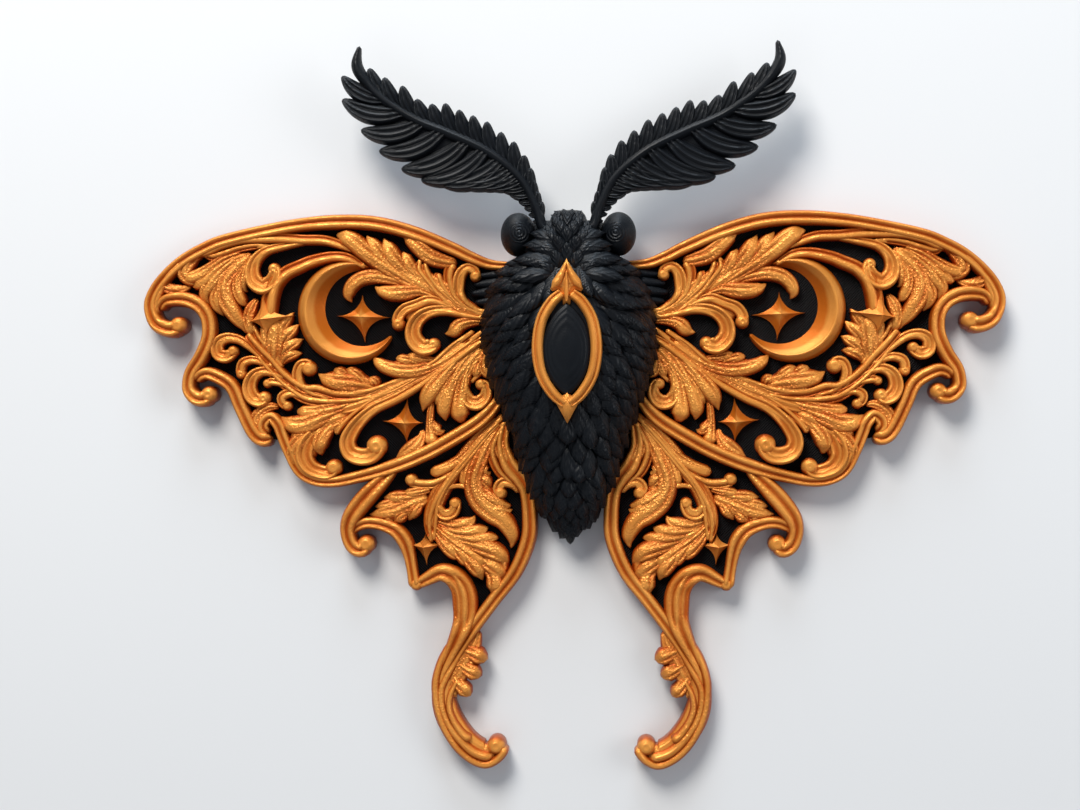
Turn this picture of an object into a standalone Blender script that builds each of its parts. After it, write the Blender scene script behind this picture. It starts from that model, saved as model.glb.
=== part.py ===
# A hand-sized printed moth ornament, lying on its flat back. Black wing plates, body, eyes and
# feather-shaped feelers carry raised orange scrollwork, a crescent, stars and a pointed oval cameo.
# The frame: +Z up out of the front, +Y towards the head, +X to the right as seen, X = 0 is the middle.
# Every table is in millimetres and holds the right half. The left half is its mirror image.

import math

import bmesh
import bpy
import numpy as np
from mathutils import Matrix

MM = 0.001
GAP = 0.3

# Cutters run from a little below the floor to well above everything, and as far to the sides.
BELOW_ALL = -1
ABOVE_ALL = 30
PAST_BODY = 30

PLATE_TOP = 3.0
FOOT = PLATE_TOP + GAP
SUNK = 0.5
RIDGE_BASE = 1.0
RIDGE_SHARE = 0.62
RIDGE_MOST = 4.1
RIM_WALL = 4.6
SPAN_TOP = 91.98
SPAN_BOTTOM = -93.25
CENTRE_Y = (SPAN_TOP + SPAN_BOTTOM) / 2

TURN_LIMIT = math.radians(42)
WIDTH_SLACK = 0.5
SAMPLES = 14
MERGE_DISTANCE = 0.003

# Rows of the body from tail tip to brow: y, half width, height of the side wall, height of the crown.
BODY_ROWS = (
    (-36.4, 0.7, 2.2, 3.4),
    (-32.9, 3.3, 4.5, 7.5),
    (-28.0, 6.4, 6.6, 10.5),
    (-22.9, 9.0, 7.6, 12.8),
    (-14.9, 11.4, 8.0, 15.0),
    (-7.4, 13.8, 8.0, 17.2),
    (0.5, 16.9, 8.0, 19.2),
    (8.5, 19.6, 8.0, 20.6),
    (18.0, 20.8, 8.0, 21.0),
    (26.2, 20.0, 8.0, 20.6),
    (30.0, 18.9, 8.0, 20.0),
    (33.5, 17.0, 8.0, 19.3),
    (36.0, 14.6, 8.0, 18.6),
    (38.5, 11.6, 8.0, 18.0),
    (40.5, 9.8, 8.0, 17.8),
    (43.4, 8.2, 8.0, 17.0),
    (46.5, 5.6, 8.0, 15.0),
    (48.6, 4.7, 8.0, 13.0),
    (49.8, 3.6, 8.0, 10.5),
)
NECK_Y = 38.3
WAIST_Y = -6.2
DOME_ANGLES = (22, 45, 67, 90, 113, 135, 158)

# Feather scales on the body lie in staggered rows and point at the tail.
SCALE_FIRST_Y = 46.4
SCALE_LAST_Y = -31.5
SCALE_ROW_STEP = 5.8
SCALE_SPACING = 6.8
SCALE_LENGTH = 9.6
SCALE_OVERLAP = 1.12
SCALE_EDGE_ANGLE = 27
HEAD_EDGE_ANGLE = 62
# Stations of a scale: how far along it, its share of the width, the height of its sides and of its middle.
SCALE_STATIONS = ((-0.3, 0.6, -0.9, -0.4), (0.25, 1, -0.25, 1.2), (0.52, 0.8, -0.25, 1.7), (0.72, 0.18, -0.3, 1.4))
CAMEO_ROOM = 9.2

EYE_CENTRE = (12.75, 43.6, 9.6)
EYE_RADII = (4.8, 5.85, 6.2)

CAMEO_SEAT = 17.6
CAMEO_MIDDLE_Y = 15.5
CAMEO_REACH_Y = 22
CAMEO_FOOT = CAMEO_SEAT + GAP
RING_CREST = 22.4
STONE_TOP = 22.2

black = (0.012, 0.014, 0.017)
orange = (0.62, 0.20, 0.025)


def scroll(x, y, sweep, end_radius, end_width):
    """The rolled end of a stroke: it goes on round (x, y) for this many degrees, anticlockwise if positive."""
    return ("scroll", x, y, math.radians(sweep), end_radius, end_width)


# Strokes of the wings: points are x, y, width, and a scroll may close the list.
FORE_RIM = (
    ((13.5, 35.8, 2.0), (20, 36.2, 2.7), (25, 38, 3.1), (30, 40.4, 3.4), (40, 44.5, 3.8), (50, 47.1, 3.9),
     (60, 47.6, 3.9), (70, 46.9, 3.6), (80, 45.2, 3.5), (90, 42.9, 3.5), (95, 40.9, 3.5), (100, 38.2, 3.4),
     (104, 34.9, 3.3), (107, 31, 3.2), (108.6, 27, 3.2), scroll(103.5, 25.4, -148, 4.9, 3.4)),
    ((107, 25, 2.4), (105.5, 27.3, 3.2), (102.5, 28, 3.8), (99, 27.6, 4), (96, 26, 4), (94.2, 23.5, 4),
     (93.6, 20.5, 4), (94, 17, 4), (96, 12, 4), (97.8, 9, 3.8), (98.7, 6, 3.4),
     scroll(95.3, 5.4, -154, 3.7, 3.4)),
    ((97.5, 6.5, 2.5), (95.8, 8.2, 3.2), (93, 8.3, 3.6), (88, 5.3, 3.8), (85.3, -0.5, 3.8), (82.3, -6.5, 3.9),
     (80, -8.6, 3.9), (77.3, -8.4, 3.6)),
    ((15, 6, 1.4), (18.5, 1, 3), (22, -3, 3.8), (27, -6.6, 4), (37, -12.2, 4), (47, -16.2, 3.8),
     (57, -18.9, 3.2), (62, -19.7, 3), (66.5, -19.2, 3), (70.3, -16.8, 3), (74.6, -9, 3), (75.9, -5.5, 2.8),
     (77.5, -3.9, 2.6), (79.3, -4.6, 1.6)),
)

FORE_SCROLLS = (
    ((17, 23.4, 1.2), (24.5, 26.3, 2.4), (27.3, 29.2, 3.2), scroll(25.7, 32.4, 250, 1.8, 2.4)),
    ((17, 22.4, 1.4), (26, 25.6, 2.4), (30, 29.5, 3), (31.5, 33.5, 3), (31, 38.5, 3)),
    ((17, 22, 1.4), (26, 23.2, 2.6), (31, 23.8, 3.2), (36, 23.6, 3.4), scroll(36.8, 18.9, -240, 2.4, 2.6)),
    ((30, 26.6, 1.5), (38, 26.8, 2.4), (42.5, 25, 3), (44.3, 22, 3), (44, 19.5, 2.6), (41.5, 17.6, 2)),
    ((23, 22.5, 1.2), (28, 21, 2.6), (32, 19, 0.8)),
    ((43.5, 44.3, 1), (39.5, 41.8, 2.5), (35, 39, 3.8), (30, 38.8, 2.5)),
    ((52, 38.2, 2.2), (57, 40.5, 2.8), (62, 42, 3.2), (72, 43.2, 3.4), (84, 42.6, 3), (97, 39.2, 2)),
    ((52, 37, 2.5), (59, 38.5, 3), (64, 38, 3.2), (69, 35.6, 3.6), (72.7, 32, 4), (75.8, 24.5, 3.6),
     (76.8, 20, 3)),
    ((75, 42.6, 1.5), (79.5, 40, 2.5), (82.2, 37, 3.2), scroll(78.9, 35, -250, 2.9, 2.2)),
    ((82, 40.5, 1.2), (88, 37.5, 2), (93, 35.2, 2.6), (97, 34, 3), (99.8, 34.6, 3), (100.2, 37, 2.4)),
    ((98, 31, 1), (101, 30.9, 2), (105.5, 32.4, 2)),
    ((50, 2.8, 2.2), (58, 1.8, 2.8), (64, 2.2, 3), (68, 4, 3), (72, 7, 3), (76, 11, 3), (79.5, 15, 2.8),
     (84.5, 22.5, 2.5)),
    ((76, 10.6, 1.4), (81.5, 15.6, 2.2), (85.5, 18, 2.8), scroll(88, 15.7, -269, 1.4, 2.2)),
    ((74.4, 9.2, 1.2), (79, 12.2, 2), (82.3, 12.6, 2.5), scroll(82.6, 9.8, -150, 3.1, 2)),
    ((72, 6.4, 1.2), (77, 8.8, 2.2), (80.3, 8.6, 3), scroll(80.2, 5, -236, 2.8, 2)),
    ((69, 4.6, 1.4), (74, 6, 1.6), (77, 6.3, 1.8), (79, 5, 1.2)),
    ((62, 0.9, 1.4), (67, 2.2, 1.8), (71, 3.3, 2.1), scroll(72.6, 1.4, -240, 1.9, 1.2)),
    ((60, 2.2, 1.4), (65, 3.8, 2), (68.5, 6, 2.8), scroll(68.3, 8.6, 290, 1.3, 2)),
    ((17, 20.6, 2), (26, 15, 3), (31, 11.6, 3.2), (41, 5.2, 3.4), (46, 2, 3.4), (51, -1, 3.6),
     (55, -4.5, 4), scroll(52.9, -9.3, -285, 2.2, 2.6)),
    ((17, 21, 1.6), (31, 14, 2), (41, 8.3, 2.2), (51, 4, 2.4), (57, 2.6, 2.4), (67, 3.8, 1.8)),
    ((45, 4, 1.4), (52, 0.8, 2), (58, -1.2, 2), (67.5, -5, 1)),
    ((75, -0.1, 1), (79, -1.2, 1.6), (81, -5, 1.6), (80, -8, 1.6)),
    ((31, 9, 1.4), (27.2, 3, 2.4), scroll(24, 3, -290, 1.6, 1.3)),
)

FORE_LEAVES = (
    ((18, 22, 1), (28, 26.5, 2.4), (34, 30.5, 3.6), (40, 34.5, 4.4), (46, 37, 4), (54, 38.8, 2)),
    ((30, 28, 1.4), (35, 33.5, 2), (38, 38.8, 1)),
    ((37, 31.5, 2), (41, 35.5, 3), (43.2, 41, 1)),
    ((40, 34, 2), (44.5, 38, 3.5), (48.4, 44.6, 1)),
    ((44, 35.5, 2), (48, 40, 3), (52.6, 45.2, 1)),
    ((46, 36, 2.4), (51, 41, 4.5), (60.3, 45.4, 1.2)),
    ((36, 30.5, 3), (42, 29.2, 4), (50.4, 31.2, 0.8)),
    ((43, 34.6, 1.5), (50.5, 33.6, 3), (54, 32.8, 3.4), (56.5, 30.8, 3.4), (56, 26.6, 0.8)),
    ((78, 42.4, 1.5), (84, 37.5, 4), (88, 32, 5), (88.5, 27, 5), (84, 20.3, 1.5)),
    ((89, 36, 1.6), (93.5, 33, 2), (97, 31, 0.7)),
    ((87.5, 35.5, 2), (91.5, 32, 3), (93.7, 29.5, 2.4), (93.2, 26.2, 0.7)),
    ((87, 34, 2), (90.8, 28.5, 3.4), (89.7, 23, 0.9)),
    ((84.5, 37, 2), (86.5, 32.5, 3.5), (84, 26.8, 0.8)),
    ((74, 7.6, 3), (74.8, 13, 5), (72.4, 23.4, 0.9)),
    ((74.5, 12, 2), (73, 17, 2.4), (70.5, 21, 0.7)),
    ((74, 10, 2), (72.5, 14.5, 2.4), (69.6, 17.4, 0.7)),
    ((76, 10.4, 2), (77.5, 15, 2.5), (78.2, 20, 0.8)),
    ((52, 4, 2), (59, 6, 3), (65.3, 8.8, 0.8)),
    ((51.5, 4, 2), (57.5, 7, 2.4), (61.3, 9.5, 0.7)),
    ((48, 4.8, 2), (54.5, 7, 2.4), (57.9, 9.5, 0.7)),
    ((46, 5, 2), (51.5, 6.3, 2), (54.3, 8, 0.7)),
    ((33, 13, 1.5), (38, 11.2, 3), (44, 10, 4), (50.8, 12.8, 0.8)),
    ((36, 10.8, 1.4), (42, 12.9, 2), (45.2, 12.4, 0.7)),
    ((55, 1, 2), (61, -0.3, 2.2), (71, -1, 0.7)),
    ((60, -1, 2), (70, -3.6, 4), (75, -2.8, 0.9)),
    ((61, -2.4, 2), (67, -5.5, 2.4), (72.5, -8.7, 0.7)),
    ((62, -3.4, 2), (68, -8, 3), (72.3, -12.7, 0.8)),
    ((58, -1.2, 2), (64.5, -6, 3), (67.5, -10, 4), scroll(63.4, -13.6, -225, 2.3, 2.6)),
    ((58.4, -2, 2), (62.5, -6, 2.8), (64.2, -12.7, 0.8)),
    ((54, -1.2, 1.6), (58, -4.5, 1.8), (60.8, -7.5, 0.7)),
    ((22, 17, 2), (29, 11.5, 3), (33.5, 7.5, 3.6), (37.7, -1.4, 0.9)),
    ((22, 16, 2), (28, 9.5, 3), (31, 5, 3.6), (31.8, -3.8, 0.9)),
    ((21, 17, 2), (26.3, 9, 2.6), (28.6, 2, 4), (27.2, -5.4, 2)),
    ((32.6, 5, 1.4), (35.3, -1, 2), (35.8, -5, 2.4), (37.5, -8.5, 3), (45, -13.5, 1)),
    ((21.5, 16.4, 1.6), (21.8, 11, 2.5), (20.3, 7.6, 1)),
)

HIND_RIM = (
    ((15.6, -1.5, 1.2), (17, -7, 3), (17.2, -11, 3.6), (15.6, -15.5, 5), (12.8, -19, 4.5), (11.1, -22.5, 4),
     (10.5, -29, 4), (11, -35, 4), (14.3, -43, 3.8), (20, -50.5, 3.6), (26, -58.5, 3.6), (32, -67.5, 4.4),
     (33.2, -72, 5.2), (32.8, -77.5, 6.2), (30.8, -82.5, 6.4), (27, -87.3, 6), (21.8, -90.4, 6),
     (18.6, -88.6, 5), (18.4, -87, 4.6)),
    ((46, -16.4, 4.4), (50.5, -20.8, 5.5), (53.5, -24, 5.5), (56, -27.5, 5),
     scroll(54.1, -33, -207, 3.2, 2.8)),
    ((57.3, -33.2, 2.2), (54.8, -31.3, 3), (52, -30.6, 3.2), (49, -31, 3.2), (46, -32.3, 3), (43.5, -34.5, 3),
     (42.1, -37.5, 3), (41.2, -40.5, 2.8), (40.7, -44.5, 2.8), (39.9, -47.2, 1)),
    ((40.2, -44.6, 2), (37, -44.3, 3.4), (33.5, -43.2, 4.6), (30.3, -44.2, 5.5), (28, -47, 6.2),
     (27.2, -51, 6.6), (27.8, -56.5, 5.2), (31.3, -64.5, 3), (33.3, -70, 2)),
)

HIND_SCROLLS = (
    ((12, -23.5, 1.5), (14.3, -20.3, 2.4), (16.6, -20, 2.8), (17.7, -21.8, 2.4), (17, -23.8, 2)),
    ((19, -3.5, 2), (23, -9, 2.4), (28, -12.8, 2.6), (32, -15.3, 2.8), (38, -17.6, 2)),
    ((19.5, -5, 2), (24, -11, 4), (28, -16, 4), (31, -18.5, 3.2), (34, -22, 3), (35.8, -26, 2.8),
     (36, -33, 2.6), (37.5, -36.5, 2.4)),
    ((35, -23.2, 1.5), (33.8, -27, 2.6), scroll(31.2, -25.9, -220, 1.7, 1.4)),
    ((28, -15.6, 1.8), (32.5, -18.8, 2.2), (36, -20.2, 2.2), (39.5, -20.6, 2.2), (42.4, -18.6, 2)),
    ((33.4, -21.4, 1.6), (38, -22.3, 1.8), (43, -22.6, 1)),
)

HIND_LEAVES = (
    ((20.5, -6, 3), (23.5, -14, 4.5), (25, -19.5, 6), (22.8, -25, 6), (18.5, -28.8, 5), (15.3, -32.5, 3.4),
     (15.2, -37, 0.8)),
    ((23, -19, 3), (20.5, -23.5, 3.4), (14.9, -25.9, 1.2)),
    ((23.8, -15.5, 2), (21.8, -19, 2.6), (19.9, -21.2, 0.8)),
    ((33, -21, 2), (38, -23.8, 2), (48, -24.4, 0.7)),
    ((34.4, -22, 2), (45, -26.5, 5), (52, -28.1, 0.7)),
    ((36, -23.6, 2), (42.5, -28.2, 2.4), (45.6, -30.4, 0.7)),
    ((35.6, -23, 1.8), (39, -26.8, 1.8), (41.9, -29.6, 0.7)),
    ((36, -28.4, 1.6), (30.5, -31, 2.2), (27, -30.7, 2), (24.6, -28.4, 0.8)),
    ((34.6, -31, 2), (28, -32.2, 2.6), (21.1, -31.9, 1)),
    ((33, -32.5, 2), (26, -34.2, 2.6), (18.3, -34.3, 1)),
    ((31, -33.8, 2), (22.5, -36.4, 3.6), (16.2, -41, 1)),
    ((30, -35, 2), (21, -40, 3.4), (16, -45, 1.4)),
    ((29.4, -35, 2), (25.5, -40, 3.6), (22.7, -44.8, 0.9)),
    ((32, -33.6, 1.6), (28.5, -38, 2.4), (25.9, -41.2, 0.8)),
    ((35, -30.6, 1.6), (31.5, -36, 2.6), (28.2, -39.7, 0.8)),
    ((24, -38, 2.4), (20, -44.5, 3.4), (18.6, -49.5, 2.6)),
    ((25, -60, 3), (23.5, -63.6, 3.6), (21.5, -65.4, 2.8)),
    ((27, -64, 3), (25, -68, 3.8), (23.2, -69.6, 3)),
    ((29, -67, 3), (27, -72, 3.4), (25.5, -75.8, 1.4)),
    ((31, -69, 3), (30.2, -73, 2.6), (29.3, -76, 0.8)),
)

# The seam is where the two wings of a side meet, under the lower rim of the forewing.
WING_SEAM = ((8, 3), (18.5, 1), (22, -3), (27, -6.6), (37, -12.2), (47, -16.2))
SEAM_STEP = 0.5
FORE_PLATE_EDGE = (
    (57, -18.9), (62, -19.5), (66.5, -19), (70.3, -16.8), (73, -13), (74.6, -9), (80, -8.3), (82.3, -6.5),
    (85.3, -0.5), (88, 5.3), (93, 8.3), (97, 8.3), (96, 12), (94, 17), (93.7, 20.5), (94.2, 23.5), (96, 26),
    (99, 27.4), (105.5, 28), (106.5, 31), (104, 34.9), (100, 38.2), (95, 40.9), (90, 42.9), (80, 45.2),
    (70, 46.9), (60, 47.6), (50, 47.1), (40, 44.5), (30, 40.4), (25, 38), (20, 36.2), (8, 36),
)
HIND_PLATE_EDGE = (
    (50.5, -20.8), (53.5, -24), (56, -28.5), (54.8, -31.3), (52, -30.7), (49, -31), (46, -32.3),
    (43.5, -34.5), (42.1, -37.5), (40.7, -44.5), (37, -44.6), (33.5, -43.6), (30.3, -44.4), (28, -47),
    (27.2, -51), (26.4, -56), (23.8, -55.4), (20, -50.5), (14.3, -43), (11, -35), (10.5, -29), (11.1, -22.5),
    (8, -19.5),
)

# Crescent: the outer and the inner circle, with the directions of the two horns seen from each centre.
CRESCENT_OUTER = (57.4, 24.3, 13.3, -150.4, 116.2)
CRESCENT_INNER = (53.7, 25.2, 9.9, -136.8, 99.6)
CRESCENT_STEPS = 12

# Which stroke of the tables borders the hindwing, and which arches over the crescent.
LOWER_RIM = 3
UPPER_ARCH = 7

# Stars: centre, then the left, right, upper and lower tips.
STARS = {
    "star_inner": ((54, 23), (46.5, 22.8), (60.3, 23.3), (53.7, 28.7), (53.1, 16.4)),
    "star_outer": ((79.5, 23), (71.8, 23.5), (86, 22.5), (79, 28.8), (79, 17.5)),
    "star_lower": ((42.7, -4.6), (38.4, -4.5), (48.0, -4), (42.1, 1.6), (42.2, -9.2)),
    "star_hind": ((38, -36.6), (32.9, -35.9), (41.5, -36), (37.5, -33), (37.2, -41.3)),
}
STAR_WAIST = 0.23
STAR_HEIGHT = 3.4

# Ridges of black scales on the plate beside the shoulder: x, y, half length, half width.
SHOULDER_SCALES = ((18.5, 33.8, 5, 1.4), (19.5, 31.6, 5, 1.7), (20.6, 29.3, 4.6, 1.7), (20.6, 27.1, 3.6, 1.4))

# Feelers: the rib, then for each vane its place along the rib, its heading in degrees and its length.
FEELER_LEVEL = 11.2
FEELER_DEPTH = 2.6
COMB_SHARE = 0.86
FEELER_RIB = (
    (4.6, 43.4, 2.6), (6.6, 45.6, 2.4), (8, 50, 2.2), (12, 57.5, 2.2), (20, 64.2, 2.4), (30, 69, 2.4),
    (38.5, 72.6, 2.4), (46, 77.3, 2.6), (50.5, 81.4, 3), (54, 86.4, 2.6), (53, 91.9, 0.8),
)
UPPER_VANES = (0.07, 0.97, 15)
UPPER_HEADING = ((0.05, 103), (0.2, 88), (0.5, 72), (0.75, 66), (1.0, 62))
UPPER_LENGTH = ((0.05, 4.2), (0.2, 7.2), (0.35, 8.8), (0.55, 8.8), (0.75, 8.6), (1.0, 8.6))
LOWER_VANES = (0.16, 0.92, 13)
LOWER_HEADING = ((0.05, -12), (0.3, -15), (0.5, -23), (0.7, -14), (0.85, 8), (1.0, 30))
LOWER_LENGTH = ((0.05, 3.6), (0.2, 9), (0.35, 14), (0.5, 17), (0.7, 15.6), (0.85, 14.8), (1.0, 11.6))
UPPER_WIDTH = 3.1
LOWER_WIDTH = 3.9
UPPER_LIFT = 0.3
LOWER_LIFT = 0.15

CAMEO_RING = (
    (0.2, 28.4, 2.2), (3.6, 25.9, 2.8), (6.4, 21, 2.9), (7.3, 14, 2.9), (6.3, 7.6, 2.8), (3.4, 2.8, 2.6),
    (0.2, -0.4, 2.4),
)
CAMEO_STONE = (
    (0, 24.6), (2.3, 23.2), (4.4, 20.5), (5.7, 17), (5.9, 13), (5.1, 9), (3.2, 6), (0, 4.8),
)
CAMEO_ARROW = ((0, 36.6), (1.7, 33), (4.1, 29), (1.6, 29.6), (1.2, 25.6))
CAMEO_DROP = ((0, 4.2), (2.3, 0.6), (0, -4.6))
CAMEO_OUTLINE = (
    (0, 36.6), (1.7, 33), (4.1, 29), (3.6, 28), (6.1, 25), (8.1, 20), (8.8, 14), (7.9, 7), (5, 1.9),
    (2.4, -0.2), (0, -4.6),
)


def clear_scene():
    for item in list(bpy.data.objects):
        bpy.data.objects.remove(item)


def finish(name, colour, roughness, metallic=0.0):
    material = bpy.data.materials.new(name)
    material.use_nodes = True
    shader = material.node_tree.nodes["Principled BSDF"]
    shader.inputs["Base Color"].default_value = (*colour, 1)
    shader.inputs["Roughness"].default_value = roughness
    shader.inputs["Metallic"].default_value = metallic
    return material


def smooth(points, samples=SAMPLES):
    """A smooth curve through the points, with every column carried along."""
    knots = np.array(points, float)
    padded = np.vstack([2 * knots[0] - knots[1], knots, 2 * knots[-1] - knots[-2]])
    steps = np.linspace(0, 1, samples, endpoint=False)[:, None]
    runs = []
    for a, b, c, d in zip(padded, padded[1:], padded[2:], padded[3:]):
        runs.append(
            b + 0.5 * steps * (c - a + steps * (2 * a - 5 * b + 4 * c - d + steps * (3 * (b - c) + d - a)))
        )
    return np.vstack(runs + [knots[-1:]])


def stroke_line(stroke):
    """The dense centre line of a stroke, as rows of x, y, width."""
    if stroke[-1][0] != "scroll":
        return smooth(stroke)
    line = smooth(stroke[:-1])
    _, x, y, sweep, end_radius, end_width = stroke[-1]
    start = line[-1, :2] - (x, y)
    radius = math.hypot(*start)
    angle = math.atan2(start[1], start[0])
    share = np.linspace(0, 1, 40)[1:]
    radii = radius + (end_radius - radius) * share**2
    angles = angle + sweep * share
    widths = line[-1, 2] + (end_width - line[-1, 2]) * share
    roll = np.column_stack([x + radii * np.cos(angles), y + radii * np.sin(angles), widths])
    return np.vstack([line, roll])


def stations(line):
    """The places along a centre line where it needs a section: where it bends, and where its width turns."""
    kept, turned = [0], 0.0
    headings = np.unwrap(np.arctan2(*np.diff(line[:, :2], axis=0).T[::-1]))
    widths = line[:, 2]
    for i in range(1, len(line) - 1):
        turned += abs(headings[i] - headings[i - 1])
        reach = slice(kept[-1], i + 1)
        straight = np.linspace(widths[kept[-1]], widths[i], i + 1 - kept[-1])
        if turned > TURN_LIMIT or np.abs(widths[reach] - straight).max() > WIDTH_SLACK:
            kept.append(i)
            turned = 0.0
    if turned < TURN_LIMIT / 3 and len(kept) > 2:
        kept.pop()
    return kept + [len(line) - 1]


def sections(line, kept):
    """Left edge, middle and right edge of the line at each kept place, pinched on the inside of a tight bend."""
    slopes = np.gradient(line[:, :2], axis=0)
    slopes /= np.maximum(np.hypot(*slopes.T), 1e-9)[:, None]
    bends = np.gradient(np.unwrap(np.arctan2(slopes[:, 1], slopes[:, 0])))
    bends /= np.maximum(np.hypot(*np.gradient(line[:, :2], axis=0).T), 1e-9)
    rows = []
    for i in kept:
        side = np.array([-slopes[i, 1], slopes[i, 0]])
        half = line[i, 2] / 2
        room = 0.8 / max(abs(bends[i]), 1e-6)
        left = min(half, room) if bends[i] > 0 else half
        right = min(half, room) if bends[i] < 0 else half
        rows.append((line[i, :2] + side * left, line[i, :2], line[i, :2] - side * right, line[i, 2]))
    return rows


def crest_over(foot, width):
    return foot + min(RIDGE_BASE + RIDGE_SHARE * width, RIDGE_MOST)


def closed(mesh):
    """The mesh in triangles, with its faces pointing out."""
    bmesh.ops.recalc_face_normals(mesh, faces=mesh.faces[:])
    mesh.normal_update()
    bmesh.ops.triangulate(mesh, faces=mesh.faces[:])
    return mesh


def loft(rings):
    """A closed mesh through rings of equally many points, with a flat cap at each end."""
    mesh = bmesh.new()
    made = [[mesh.verts.new(point) for point in ring] for ring in rings]
    for near, far in zip(made, made[1:]):
        for i in range(len(near)):
            j = (i + 1) % len(near)
            mesh.faces.new((near[i], near[j], far[j], far[i]))
    mesh.faces.new(made[0][::-1])
    mesh.faces.new(made[-1])
    return closed(mesh)


def ridge(stroke, sunk=SUNK):
    """A stroke with a three-cornered section, as wide as told at the foot and sunk a little below it."""
    line = stroke_line(stroke)
    rings = []
    for left, middle, right, width in sections(line, stations(line)):
        crest = crest_over(FOOT, width)
        spread = 1 + sunk / (crest - FOOT)
        low = FOOT - sunk
        rings.append([
            (*(middle + (left - middle) * spread), low), (*middle, crest), (*(middle + (right - middle) * spread), low),
        ])
    return loft(rings)


def rim(stroke):
    """A stroke with upright sides down to the floor, for the edge of a wing."""
    line = stroke_line(stroke)
    rings = []
    for left, middle, right, width in sections(line, stations(line)):
        crest = crest_over(FOOT, width)
        rings.append([(*left, 0), (*left, RIM_WALL), (*middle, crest), (*right, RIM_WALL), (*right, 0)])
    return loft(rings)


def prism(outline, low, high):
    return loft([[(x, y, low) for x, y in outline], [(x, y, high) for x, y in outline]])


def facets(outline, apex, foot):
    """A low pyramid over an outline."""
    mesh = bmesh.new()
    low = [mesh.verts.new((x, y, foot)) for x, y in outline]
    top = mesh.verts.new(apex)
    for i in range(len(low)):
        mesh.faces.new((low[i], low[(i + 1) % len(low)], top))
    mesh.faces.new(low)
    return closed(mesh)


def grown(outline, step):
    """The outline moved outwards by a step along each corner's bisector."""
    points = np.array(outline, float)
    before = points - np.roll(points, 1, axis=0)
    after = np.roll(points, -1, axis=0) - points
    before /= np.hypot(*before.T)[:, None]
    after /= np.hypot(*after.T)[:, None]
    area = np.cross(points, np.roll(points, -1, axis=0)).sum()
    normals = np.column_stack([before[:, 1] + after[:, 1], -before[:, 0] - after[:, 0]])
    reach = np.maximum((normals**2).sum(axis=1) / 2, 0.5)
    return points + np.sign(area) * step * normals / reach[:, None]


def mirrored(outline):
    """The outline of the right half, closed with its mirror image."""
    return list(outline) + [(-x, y) for x, y in reversed(outline) if x > 0]


def body_row(y):
    rows = np.array(BODY_ROWS)
    return [np.interp(y, rows[:, 0], rows[:, column]) for column in (1, 2, 3)]


def body_surface(y, degrees, grow=0.0):
    """The point of the body's skin in the row at y, this many degrees round its dome from the right wall."""
    half, wall, crown = body_row(y)
    angle = math.radians(degrees)
    return (
        (half + grow) * math.cos(angle),
        y,
        wall + (crown + grow - wall) * math.sin(angle),
    )


def body_length(low, high, grow=0.0):
    """The body from one y to another, flat below, with walls and a dome."""
    rows = [low] + [row[0] for row in BODY_ROWS if low + 0.4 < row[0] < high - 0.4] + [high]
    rings = []
    for y in rows:
        half, wall, _ = body_row(y)
        ring = [(half + grow, y, -grow), (half + grow, y, wall)]
        ring += [body_surface(y, degrees, grow) for degrees in DOME_ANGLES]
        ring += [(-half - grow, y, wall), (-half - grow, y, -grow)]
        rings.append(ring)
    return loft(rings)


def body_scale(y, degrees, half_angle):
    """A low pointed scale that follows the dome, with its sides and its root sunk in it."""
    rings = []
    for reach, share, side, middle in SCALE_STATIONS:
        along = y - SCALE_LENGTH * reach
        rings.append([
            body_surface(along, degrees - half_angle * share, side),
            body_surface(along, degrees, middle),
            body_surface(along, degrees + half_angle * share, side),
        ])
    return loft(rings)


def dome_length(y, edge_angle):
    """How far it is over the dome in the row at y, between the outermost scales."""
    angles = np.linspace(edge_angle, 180 - edge_angle, SAMPLES)
    points = np.array([body_surface(y, degrees) for degrees in angles])
    return np.linalg.norm(np.diff(points, axis=0), axis=1).sum()


def body_scales(low, high):
    """The scales rooted between two ends of the body, without those under the cameo."""
    pieces = []
    rows = np.arange(SCALE_FIRST_Y, SCALE_LAST_Y, -SCALE_ROW_STEP)
    for index, y in enumerate(rows):
        if not low < y < high:
            continue
        edge_angle = HEAD_EDGE_ANGLE if y > NECK_Y else SCALE_EDGE_ANGLE
        count = max(2, round(dome_length(y, edge_angle) / SCALE_SPACING) + index % 2)
        angles = np.linspace(edge_angle, 180 - edge_angle, count)
        half_angle = (angles[1] - angles[0]) / 2 * SCALE_OVERLAP
        for degrees in angles:
            x, along, _ = body_surface(y - SCALE_LENGTH / 3, degrees)
            if math.hypot(x / CAMEO_ROOM, (along - CAMEO_MIDDLE_Y) / CAMEO_REACH_Y) > 1:
                pieces.append(body_scale(y, degrees, half_angle))
    return pieces


def body_clearance():
    """The room that the wings leave for the body's walls."""
    edge = [(row[1] + GAP, row[0]) for row in BODY_ROWS if row[0] < 39]
    return prism(mirrored([(0, BODY_ROWS[0][0] - 1)] + edge + [(0, 39)]), BELOW_ALL, ABOVE_ALL)


def put(mesh_data, name):
    mesh = bpy.data.meshes.new(name)
    mesh_data.to_mesh(mesh)
    mesh_data.free()
    item = bpy.data.objects.new(name, mesh)
    bpy.context.scene.collection.objects.link(item)
    return item


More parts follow.
